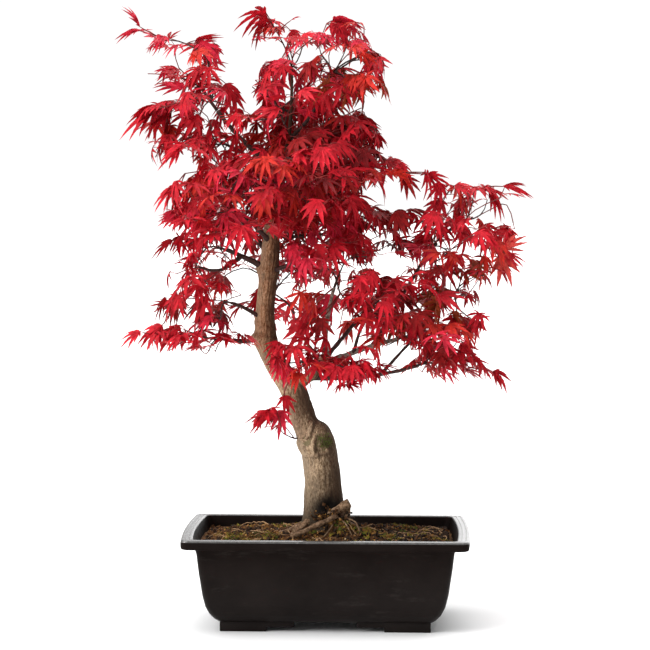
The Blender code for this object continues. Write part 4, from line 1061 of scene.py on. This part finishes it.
def build_crown(limbs):
    crown = Crown(limbs)
    masses = [Mass(name, limbs) for name in MASSES]
    starts = np.array([mass.start for mass in masses])
    ends = np.array([mass.end for mass in masses])
    taken = []
    for number, mass in enumerate(masses):
        crown.add_mass(mass, number, starts, ends, taken)
    crown.add_lone_leaves()
    kinds = [("leaves_" + tint, batch, leaf_finish(tint, TINTS[tint]), "foliage")
             for tint, batch in crown.leaves.items()]
    kinds += [("leaf_stalks", crown.stalks, stalk_finish(), "foliage"),
              ("twigs", crown.twigs, young_bark_finish(), "young_bark"),
              ("shoots", crown.shoots, plain_finish("red_shoots", RED_BARK, 0.5), "foliage")]
    for name, batch, finish, slot in kinds:
        keep(batch.object(name, finish), slot, *MASSES)


def keep(piece, slot, *nodes):
    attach(piece, "root")
    if nodes:
        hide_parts(*nodes)


# ---------------------------------------------------------------- pot and soil

RIM_HALF = (140.0 * MM, 100.0 * MM)
WALL_HALF = (126.2 * MM, 87.0 * MM)
RIM_UNDERSIDE = 85.0 * MM
FOOT_HEIGHT = 9.8 * MM
WALL = 2.6 * MM
SIDE_BOW = 3.5 * MM
CORNER_RADIUS = 6.5 * MM
WALL_TAPER = ((0.0, 20.9), (2.6, 17.4), (8.0, 12.9), (16.0, 9.0), (27.0, 6.3), (50.0, 2.9), (75.2, 0.0))
# The rim's section, mm: inset from its full size, height above its underside. Two grooves run round its top.
RIM_PROFILE = (
    (13.2, 0.0), (2.4, 0.0), (1.1, 0.4), (0.3, 1.5), (0.0, 3.0), (0.0, 7.6), (0.3, 8.7), (1.0, 9.3),
    (2.0, 9.5), (3.2, 9.5), (3.5, 9.1), (4.1, 9.1), (4.4, 9.5), (7.4, 9.5), (7.7, 9.1), (8.3, 9.1),
    (8.6, 9.5), (10.6, 9.5), (11.3, 9.2), (11.7, 8.4),
)
RIM_FACE = 7.8 * MM             # above this height over its underside the rim takes the lighter, mottled finish of painted sheen
RIM_DEPTH_SHARE = 0.72          # the rim's inset along its long sides, as a share of that at its ends
FOOT_OUTER = (104.0 * MM, 65.0 * MM)
FOOT_STEP_INSET = 0.25 * MM
# Each foot's blocks: length, depth, height of the underside.
FOOT_STEPS = ((46.0 * MM, 20.0 * MM, 0.0), (73.0 * MM, 14.0 * MM, 4.6 * MM), (14.0 * MM, 40.0 * MM, 0.0))
SOIL_EDGE = 83.0 * MM
SOIL_PAD = 90.0 * MM
SOIL_PAD_RADIUS = 40.0 * MM
SOIL_REACH = (WALL_HALF[0] - WALL - 2 * MM, WALL_HALF[1] - WALL - 2 * MM)


def plan_ring(half, height, corner=9, side=9):
    half_x, half_y = half
    radius = min(CORNER_RADIUS, half_y * 0.4)
    ring = []
    for number, (sx, sy) in enumerate(((1, 1), (-1, 1), (-1, -1), (1, -1))):
        for k in range(corner):
            angle = (number + k / (corner - 1)) * math.pi / 2
            ring.append((sx * (half_x - radius) + radius * math.cos(angle),
                         sy * (half_y - radius) + radius * math.sin(angle)))
        end_x, end_y = sx * (half_x - radius), sy * (half_y - radius)
        for k in range(1, side + 1):
            share = 1 - 2 * k / (side + 1)
            ring.append((sx * half_x, end_y * share) if number % 2 else (end_x * share, sy * half_y))
    bowed = []
    for x, y in ring:
        share = max(0.0, 1.0 - (y / half_y) ** 2)
        bowed.append(Vector((x + math.copysign(SIDE_BOW * share, x) * (abs(x) / half_x) ** 8, y, height)))
    return bowed


def wall_half(height, inset=0.0):
    above = (height - FOOT_HEIGHT) / MM
    for (low, draw_low), (high, draw_high) in zip(WALL_TAPER, WALL_TAPER[1:]):
        if above <= high:
            share = max(0.0, (above - low) / (high - low))
            drawn = (draw_low + (draw_high - draw_low) * share) * MM
            return WALL_HALF[0] - drawn - inset, WALL_HALF[1] - drawn - inset
    return WALL_HALF[0] - inset, WALL_HALF[1] - inset


def skin_rings(name, rings):
    shape = bmesh.new()
    levels = [[shape.verts.new(point) for point in ring] for ring in rings]
    count = len(levels[0])
    for lower, upper in zip(levels, levels[1:]):
        for k in range(count):
            shape.faces.new((lower[k], lower[(k + 1) % count], upper[(k + 1) % count], upper[k]))
    shape.faces.new(list(reversed(levels[0])))
    shape.faces.new(levels[-1])
    bmesh.ops.recalc_face_normals(shape, faces=shape.faces)
    return mesh_from(name, shape)


def mesh_from(name, shape):
    mesh = bpy.data.meshes.new(name)
    shape.to_mesh(mesh)
    shape.free()
    return mesh


def apply_modifiers(item):
    bpy.context.view_layer.update()
    view = bpy.context.evaluated_depsgraph_get()
    item.data = bpy.data.meshes.new_from_object(item.evaluated_get(view))
    item.modifiers.clear()


def pot_piece(material, rim_material):
    levels = [FOOT_HEIGHT + (low + (high - low) * k / 4) * MM
              for (low, _), (high, _) in zip(WALL_TAPER, WALL_TAPER[1:]) for k in range(4)]
    floor = FOOT_HEIGHT + WALL
    rings = [plan_ring(wall_half(level), level) for level in levels]
    for inset, up in RIM_PROFILE:
        half = (RIM_HALF[0] - inset * MM, RIM_HALF[1] - inset * MM * RIM_DEPTH_SHARE)
        rings.append(plan_ring(half, RIM_UNDERSIDE + up * MM))
    rings += [plan_ring(wall_half(level, WALL), level)
              for level in reversed(levels) if level > floor + 2 * MM]
    rings.append(plan_ring(wall_half(floor, WALL + 2.0 * MM), floor))
    pot = piece_of(skin_rings("plastic_pot", rings), material)
    pot.data.materials.append(rim_material)
    for face in pot.data.polygons:
        face.material_index = int(face.center.z > RIM_UNDERSIDE + RIM_FACE)
    pot.data.shade_smooth()
    pot.data.set_sharp_from_angle(angle=math.radians(34))
    return pot


def feet_piece(material):
    shape = bmesh.new()
    sunk = FOOT_HEIGHT + WALL * 0.5
    for sx, sy in ((-1, -1), (-1, 1), (1, -1), (1, 1)):
        for number, (long, deep, under) in enumerate(FOOT_STEPS):
            inset = FOOT_STEP_INSET * number
            low = Vector((FOOT_OUTER[0] - long, FOOT_OUTER[1] - deep, under))
            high = Vector((FOOT_OUTER[0] - inset, FOOT_OUTER[1] - inset, sunk - inset))
            middle = (low + high) / 2
            place = Matrix.LocRotScale(Vector((sx * middle.x, sy * middle.y, middle.z)), None, high - low)
            bmesh.ops.create_cube(shape, size=1.0, matrix=place)
    feet = piece_of(mesh_from("pot_feet", shape), material)
    bevel = feet.modifiers.new("edges", "BEVEL")
    bevel.width = 0.7 * MM
    bevel.segments = 2
    apply_modifiers(feet)
    feet.data.shade_smooth()
    feet.data.set_sharp_from_angle(angle=math.radians(50))
    return feet


# Heaps of crumbs and moss, mm: x, y, spread, rise.
MOUNDS = (
    (4, -25, 8, 9.0), (16, -25, 11, 11.0), (34, -26, 12, 5.0), (-20, -24, 8, 4.0), (60, -30, 22, 3.0),
    (96, -30, 18, 3.0), (-60, -30, 26, 2.5), (-96, -14, 20, 2.0), (0, 40, 40, 2.5), (-40, -62, 20, -2.0),
    (70, 50, 30, 2.0),
)
LUMP_RISE = 2.5                 # mm
CRUMB_RISE = 1.1                # mm
SOIL_SKIRT = 22 * MM            # how far the soil's skin goes down inside the pot
SOIL_RINGS = 64


def soil_height(x, y):
    outward = max(0.0, math.hypot(x, y * 1.4) - SOIL_PAD_RADIUS) / (RIM_HALF[0] - SOIL_PAD_RADIUS)
    level = SOIL_PAD + (SOIL_EDGE - SOIL_PAD) * min(1.0, outward) ** 1.2
    lumps = noise.fractal(Vector((x, y, 0.0)) * 60.0, 0.9, 2.0, 4) * LUMP_RISE
    crumbs = noise.noise(Vector((x, y, 3.0)) * 380.0) * CRUMB_RISE
    for x0, y0, spread, rise in MOUNDS:
        lumps += rise * math.exp(-((x / MM - x0) ** 2 + (y / MM - y0) ** 2) / spread ** 2)
    return level + (lumps + crumbs - 0.2) * MM


def on_soil(x, y, above=0.0):
    return Vector((x, y, soil_height(x, y) + above))


def soil_piece(material):
    edge = plan_ring(wall_half(SOIL_EDGE, WALL + 0.1 * MM), 0.0, 12, 32)
    rings = [[Vector((p.x, p.y, SOIL_EDGE - SOIL_SKIRT)) for p in edge]]
    for k in range(SOIL_RINGS, 0, -1):
        share = k / SOIL_RINGS
        rings.append([on_soil(p.x * share, p.y * share) for p in edge])
    mesh = skin_rings("soil_surface", rings)
    mesh.shade_smooth()
    return piece_of(mesh, material)


LUMP = ((1, 0, 0), (-1, 0, 0), (0, 1, 0), (0, -1, 0), (0, 0, 1), (0, 0, -1))
LUMP_FACES = [[4, 0, 2], [4, 2, 1], [4, 1, 3], [4, 3, 0], [5, 2, 0], [5, 1, 2], [5, 3, 1], [5, 0, 3]]
# Grains of the soil: colour, how many, least and greatest size in mm.
GRAIN_KINDS = {
    "grains_ochre": ((0.330, 0.165, 0.045), 900, (0.8, 2.3)),
    "grains_brown": ((0.082, 0.036, 0.013), 1500, (0.9, 3.2)),
    "grains_dark": ((0.024, 0.013, 0.007), 1700, (1.0, 3.4)),
    "grains_pale": ((0.560, 0.400, 0.210), 320, (0.5, 1.5)),
}


def spot_on_soil(rng, lean=0.0):
    """A place on the soil, with a lean to the right, or to the left where it is below 0."""
    x = (1 - 2 * rng.random() ** (1 + lean)) * SOIL_REACH[0]
    y = rng.uniform(-1, 1) * SOIL_REACH[1]
    return x, y


def lump(rng, middle, size, least, most):
    """The corners of a crumb turned at random."""
    spin = Matrix.Rotation(rng.uniform(0, 6.3), 3, Vector([rng.uniform(-1, 1) for _ in range(3)]))
    return [middle + spin @ Vector(p) * size * rng.uniform(least, most) for p in LUMP]


def keep_on_soil(name, batch, colour, roughness):
    keep(batch.object(name, plain_finish(name, colour, roughness), False), "soil", "soil")


def grain_pieces():
    for name, (colour, count, sizes) in GRAIN_KINDS.items():
        rng = seeded(name)
        batch = Batch()
        for _ in range(count):
            # painted shade: the dark grains gather to the right, the others lean a little to the left
            x, y = spot_on_soil(rng, 0.9 if name == "grains_dark" else -0.25)
            size = rng.uniform(*sizes) * MM
            batch.add(lump(rng, on_soil(x, y, size * 0.15), size, 0.6, 1.15), LUMP_FACES)
        keep_on_soil(name, batch, colour, 0.9)


DEBRIS = 440            # crumbs lodged in and round the hollow at the trunk's foot
DEBRIS_KINDS = {"ochre": 2, "brown": 4, "dark": 5}      # and how often each kind comes


def debris_pieces():
    rng = seeded("debris")
    batches = {kind: Batch() for kind in DEBRIS_KINDS}
    for _ in range(DEBRIS):
        place = HOLLOW + Vector((rng.gauss(3, 9), rng.gauss(-4, 2.6), rng.gauss(-8, 6))) * MM
        points = lump(rng, place, rng.uniform(0.7, 2.4) * MM, 0.5, 1.2)
        kind = rng.choices(list(batches), list(DEBRIS_KINDS.values()))[0]
        batches[kind].add(points, LUMP_FACES)
    for kind, batch in batches.items():
        keep_on_soil("debris_" + kind, batch, shaded(GRAIN_KINDS["grains_" + kind][0], 0.8), 0.9)


# Moss: colour, and how often each kind comes.
MOSS_KINDS = {
    "moss_light": ((0.260, 0.200, 0.028), 5),
    "moss_green": ((0.085, 0.120, 0.016), 3),
    "moss_brown": ((0.230, 0.110, 0.030), 4),
}
# Where moss gathers, mm: x, y, spread, tufts.
MOSS_PATCHES = (
    (-15, -24, 6, 26), (16, -26, 12, 60), (38, -30, 12, 26), (-60, -34, 18, 54), (114, -26, 9, 30),
    (60, -40, 14, 16), (-84, -46, 22, 60), (96, -20, 14, 14), (-96, -12, 16, 26), (30, -66, 20, 20),
    (-30, -70, 26, 50), (84, 50, 30, 40), (-70, 54, 34, 44), (108, -62, 12, 22), (-110, -60, 12, 20),
    (0, 60, 50, 40), (40, -20, 10, 16),
)
MOSS_BLADES = 14
BLADE_HALF_WIDTH = 0.42         # mm


def moss_blade(rng, foot, rise):
    """The corners of one blade of moss, bent over at its tip."""
    lean = Vector((rng.gauss(0, 0.55), rng.gauss(0, 0.55), 1.0)).normalized()
    tall = rng.uniform(1.6, 4.2) * rise * MM
    side = lean.cross(Vector((rng.uniform(-1, 1), rng.uniform(-1, 1), 0.1))).normalized()
    side = side * BLADE_HALF_WIDTH * MM
    base = foot + Vector((rng.gauss(0, 1.0), rng.gauss(0, 1.0), 0)) * MM
    middle = base + lean * tall * 0.55
    bent = base + lean * tall + Vector((lean.x, lean.y, -0.25)) * tall * 0.4
    return [base - side, base + side, middle + side * 0.8, middle - side * 0.8, bent]


def moss_pieces():
    rng = seeded("moss")
    batches = {name: Batch() for name in MOSS_KINDS}
    shares = [share for _, share in MOSS_KINDS.values()]
    half_x, half_y = wall_half(SOIL_EDGE, WALL + 2 * MM)
    for x0, y0, spread, tufts in MOSS_PATCHES:
        for _ in range(tufts):
            x = x0 * MM + rng.gauss(0, spread * 0.5) * MM
            y = y0 * MM + rng.gauss(0, spread * 0.5) * MM
            x, y = max(-half_x, min(half_x, x)), max(-half_y, min(half_y, y))
            batch = batches[rng.choices(list(MOSS_KINDS), shares)[0]]
            foot = on_soil(x, y, -0.3 * MM)
            rise = rng.uniform(0.8, 1.5)
            for _ in range(MOSS_BLADES):
                batch.add(moss_blade(rng, foot, rise), [[0, 1, 2, 3], [3, 2, 4]])
    for name, batch in batches.items():
        keep_on_soil(name, batch, MOSS_KINDS[name][0], 0.85)


ROOTLETS = 190
ROOTLET_STEP = 2.6 * MM
# A rootlet's least and greatest radius and arch in mm, and its joints: the long kind and the short one.
LONG_ROOTLET = ((0.30, 0.62), (12, 20), 6.0)
SHORT_ROOTLET = ((0.20, 0.45), (6, 12), 2.5)


def rootlet_piece():
    rng = seeded("rootlets")
    batch = Batch()
    for number in range(ROOTLETS):
        x, y = spot_on_soil(rng)
        heading = rng.uniform(0, 2 * math.pi)
        thicks, counts, highest = SHORT_ROOTLET if number % 4 else LONG_ROOTLET
        thick = rng.uniform(*thicks) * MM
        count = rng.randrange(*counts)
        rise = rng.uniform(0.5, highest) * MM
        points, radii = [], []
        for k in range(count):
            arch = math.sin(math.pi * k / (count - 1)) * rise * rng.uniform(0.8, 1.2)
            points.append(on_soil(x, y, arch))
            radii.append(thick * (1.0 - 0.6 * k / count))
            heading += rng.gauss(0, 0.35)
            x += math.cos(heading) * ROOTLET_STEP
            y += math.sin(heading) * ROOTLET_STEP
            if abs(x) > SOIL_REACH[0] or abs(y) > SOIL_REACH[1]:
                break
        if len(points) > 2:
            batch.tube(points, radii, 4)
    return batch.object("rootlets", plain_finish("rootlets", (0.440, 0.270, 0.140), 0.85))


# ---------------------------------------------------------------- trunk, boughs and roots

ROOT_STEPS = 20


def root_limbs(trunk):
    limbs = {}
    for name, (angle, height), ground, (thick, thin) in ROOTS:
        centre, _, radius = trunk.at(trunk_share(height))
        turn = math.radians(angle)
        start = centre + Vector((math.cos(turn), math.sin(turn), 0)) * radius * 0.7
        ends = [Vector((x, y, 0)) * MM for x, y in ground]
        for point in ends:
            point.z = SOIL_PAD + thin * 0.30 * MM
        bow = ends[0] - (start + ends[1]) / 2 + Vector((0, 0, 1.5 * MM))
        limbs[name] = tapered(curved(start, bow, ends[1], ROOT_STEPS), thick, thin)
    return limbs


# More roots and stubs at the trunk's foot, mm: points, radius at each end.
FOOT_ROOTS = (
    (((10, -25, 110), (3, -32, 107), (-8, -37, 102.5), (-20, -41, 97), (-35, -43, 91)), 2.4, 2.7),
    (((3, -14, 109), (11, -19, 115), (22.5, -20, 122.5)), 3.4, 4.9),
    (((21, -18, 120), (21, -20, 108), (22, -22, 98), (24, -24, 89)), 2.8, 2.2),
    (((12, -26, 108), (19, -31, 103), (24, -35, 95), (27, -38, 89.6)), 0.9, 0.6),
    (((8, -28, 104), (3, -35, 97), (-3, -41, 90)), 0.8, 0.6),
    (((18, -24, 108), (29, -27, 104), (33, -30, 96), (36, -33, 89)), 0.8, 0.5),
    (((-15, -12, 106), (-25, -17, 97), (-36, -20, 89.5)), 4.2, 1.6),
    (((-20, 6, 97), (-30, 12, 92), (-42, 16, 89.8)), 3.6, 1.4),
    (((4, 22, 97), (8, 32, 92), (16, 42, 89.6)), 3.8, 1.5),
    (((20, 10, 97), (30, 16, 92), (40, 17, 89.8)), 3.4, 1.3),
)


def smooth_path(points, between):
    path = []
    for k in range(len(points) - 1):
        before, after = points[max(k - 1, 0)], points[min(k + 2, len(points) - 1)]
        a, b = points[k], points[k + 1]
        for n in range(between):
            t = n / between
            bend = (b - before) * 0.5 * (t - 2 * t * t + t ** 3) + (after - a) * 0.5 * (t ** 3 - t * t)
            path.append(a * (1 - 3 * t * t + 2 * t ** 3) + b * (3 * t * t - 2 * t ** 3) + bend)
    return path + [points[-1]]


def limb_pieces(limbs):
    bark = bark_finish()
    keep(trunk_piece(limbs["trunk"], bark), "bark", "trunk")
    young_wood = [name for name in BOUGHS if name not in OLD_WOOD + GREY_WOOD]
    kinds = (("old_boughs", "bark", OLD_WOOD, bark),
             ("grey_boughs", "young_bark", GREY_WOOD, grey_bark_finish()),
             ("young_boughs", "young_bark", young_wood, young_bark_finish()))
    for piece, slot, names, finish in kinds:
        batch = Batch()
        for name in names:
            limb_skin(batch, name, limbs[name], 14, 0.55)
        keep(batch.object(piece, finish), slot, *names)
    roots = Batch()
    surface = root_limbs(limbs["trunk"])
    for name in ("root_right", "root_left"):
        limb_skin(roots, name, surface[name], 16, 0.35)
    for points, thick, thin in FOOT_ROOTS:
        path = smooth_path([Vector(p) * MM for p in points], 6)
        limb_skin(roots, str(points[0]), tapered(path, thick, thin), 12, 0.15)
    keep(roots.object("surface_roots", root_finish()), "bark", *surface)


SCAR_MIDDLE = Vector((-20.0, -16.4, 184)) * MM
SCAR_AXIS = Vector((-0.40, -0.91, 0.05)).normalized()
SCAR_RADIUS = 4.2 * MM
# The scar's rolled edge from the middle outwards: share of its radius, rise in mm.
SCAR_SECTION = ((0.55, 1.3), (0.80, 0.9), (1.0, 1.5), (1.22, 0.8), (1.4, -1.5))


def scar_piece():
    """The healed oval scar of a cut limb, low on the trunk's front."""
    side = SCAR_AXIS.cross(UP).normalized()
    up = side.cross(SCAR_AXIS)
    rings = [[SCAR_MIDDLE + (side * math.cos(a) * 0.92 + up * math.sin(a)) * SCAR_RADIUS * reach
              + SCAR_AXIS * rise * MM for a in round_turn(20)] for reach, rise in SCAR_SECTION]
    mesh = skin_rings("cut_scar", rings)
    mesh.shade_smooth()
    keep(piece_of(mesh, plain_finish("scar", (0.190, 0.150, 0.078), 0.8, 0.4, 420.0)), "bark")


TRUNK_MOSS_TUFTS = 620
TRUNK_MOSS_TURN = -64           # degrees
TRUNK_MOSS_HEIGHT = 179.0       # mm
TRUNK_MOSS_REACH = 19.3         # mm from the middle of the trunk


def trunk_moss_piece():
    """A cushion of bright moss on the callus, at the right."""
    rng = seeded("trunk moss")
    batch = Batch()
    for _ in range(TRUNK_MOSS_TUFTS):
        angle = math.radians(rng.gauss(TRUNK_MOSS_TURN, 17))
        height = rng.gauss(TRUNK_MOSS_HEIGHT, 4.4) - 0.06 * math.degrees(angle + 1.1)
        centre = Vector((-11.6, 0, height)) * MM
        outward = Vector((math.cos(angle), math.sin(angle), 0.15)).normalized()
        foot = centre + outward * TRUNK_MOSS_REACH * MM
        lean = (outward + Vector([rng.gauss(0, 0.4) for _ in range(3)])).normalized()
        side = lean.cross(Vector((0.2, 0.1, 1))).normalized() * 0.40 * MM
        tall = rng.uniform(1.0, 2.4) * MM
        batch.add([foot - side, foot + side, foot + lean * tall], [[0, 1, 2]])
    finish = plain_finish("moss_bright", (0.110, 0.160, 0.020), 0.8)
    keep(batch.object("trunk_moss", finish, False), "bark")


# ---------------------------------------------------------------- studio

FLOOR_REACH = 40.0              # m
# The studio's lamps: direction in which each stands, strength, breadth in degrees.
LAMPS = {
    "key": ((-0.76, -0.48, 0.45), 2.8, 32.0),
    "top": ((-0.10, 0.05, 1.0), 3.0, 60.0),
    "rear": ((0.30, 0.80, 0.50), 1.3, 60.0),
}
SKY_STOPS = ((0.0, 1.05), (0.10, 1.05), (0.22, 0.34))       # height, brightness


def studio():
    floor = bpy.data.meshes.new("floor")
    corners = [(x * FLOOR_REACH, y * FLOOR_REACH, 0) for x, y in ((-1, -1), (1, -1), (1, 1), (-1, 1))]
    floor.from_pydata(corners, [], [(0, 1, 2, 3)])
    piece_of(floor, plain_finish("floor", grey(0.94), 0.9, 0.004))
    sky()
    for name, (direction, strength, spread) in LAMPS.items():
        lamp = bpy.data.lights.new(name, "SUN")
        lamp.energy = strength
        lamp.angle = math.radians(spread)
        item = in_scene(name, lamp)
        item.rotation_euler = (-Vector(direction)).to_track_quat("-Z", "Y").to_euler()


def sky():
    """A white studio: bright along the horizon, dimmer overhead."""
    world = bpy.data.worlds.new("studio")
    bpy.context.scene.world = world
    bpy.context.scene.view_settings.view_transform = "Standard"
    world.use_nodes = True
    nodes, links = world.node_tree.nodes, world.node_tree.links
    place = nodes.new("ShaderNodeTexCoord")
    split = nodes.new("ShaderNodeSeparateXYZ")
    ramp = nodes.new("ShaderNodeValToRGB")
    ramp.color_ramp.elements.new(0.5)
    for element, (at, level) in zip(ramp.color_ramp.elements, SKY_STOPS):
        element.position = at
        element.color = (*grey(level), 1.0)
    links.new(place.outputs["Generated"], split.inputs["Vector"])
    links.new(split.outputs["Z"], ramp.inputs["Fac"])
    links.new(ramp.outputs["Color"], nodes["Background"].inputs["Color"])


def camera():
    lens = bpy.data.cameras.new("camera")
    lens.lens = LENS
    lens.sensor_width = SENSOR
    item = in_scene("camera", lens)
    right, up, forward = camera_axes()
    place = Matrix((right, up, -forward)).transposed().to_4x4()
    place.translation = CAMERA_PLACE
    item.matrix_world = place
    bpy.context.scene.camera = item


camera()
studio()
limbs = grown_limbs()
limb_pieces(limbs)
scar_piece()
trunk_moss_piece()
build_crown(limbs)
plastic = plastic_finish()
keep(pot_piece(plastic, rim_finish()), "pot_plastic", "pot")
keep(feet_piece(plastic), "pot_plastic", "pot")
keep(soil_piece(soil_finish()), "soil", "soil")
grain_pieces()
debris_pieces()
moss_pieces()
keep(rootlet_piece(), "soil", "soil")
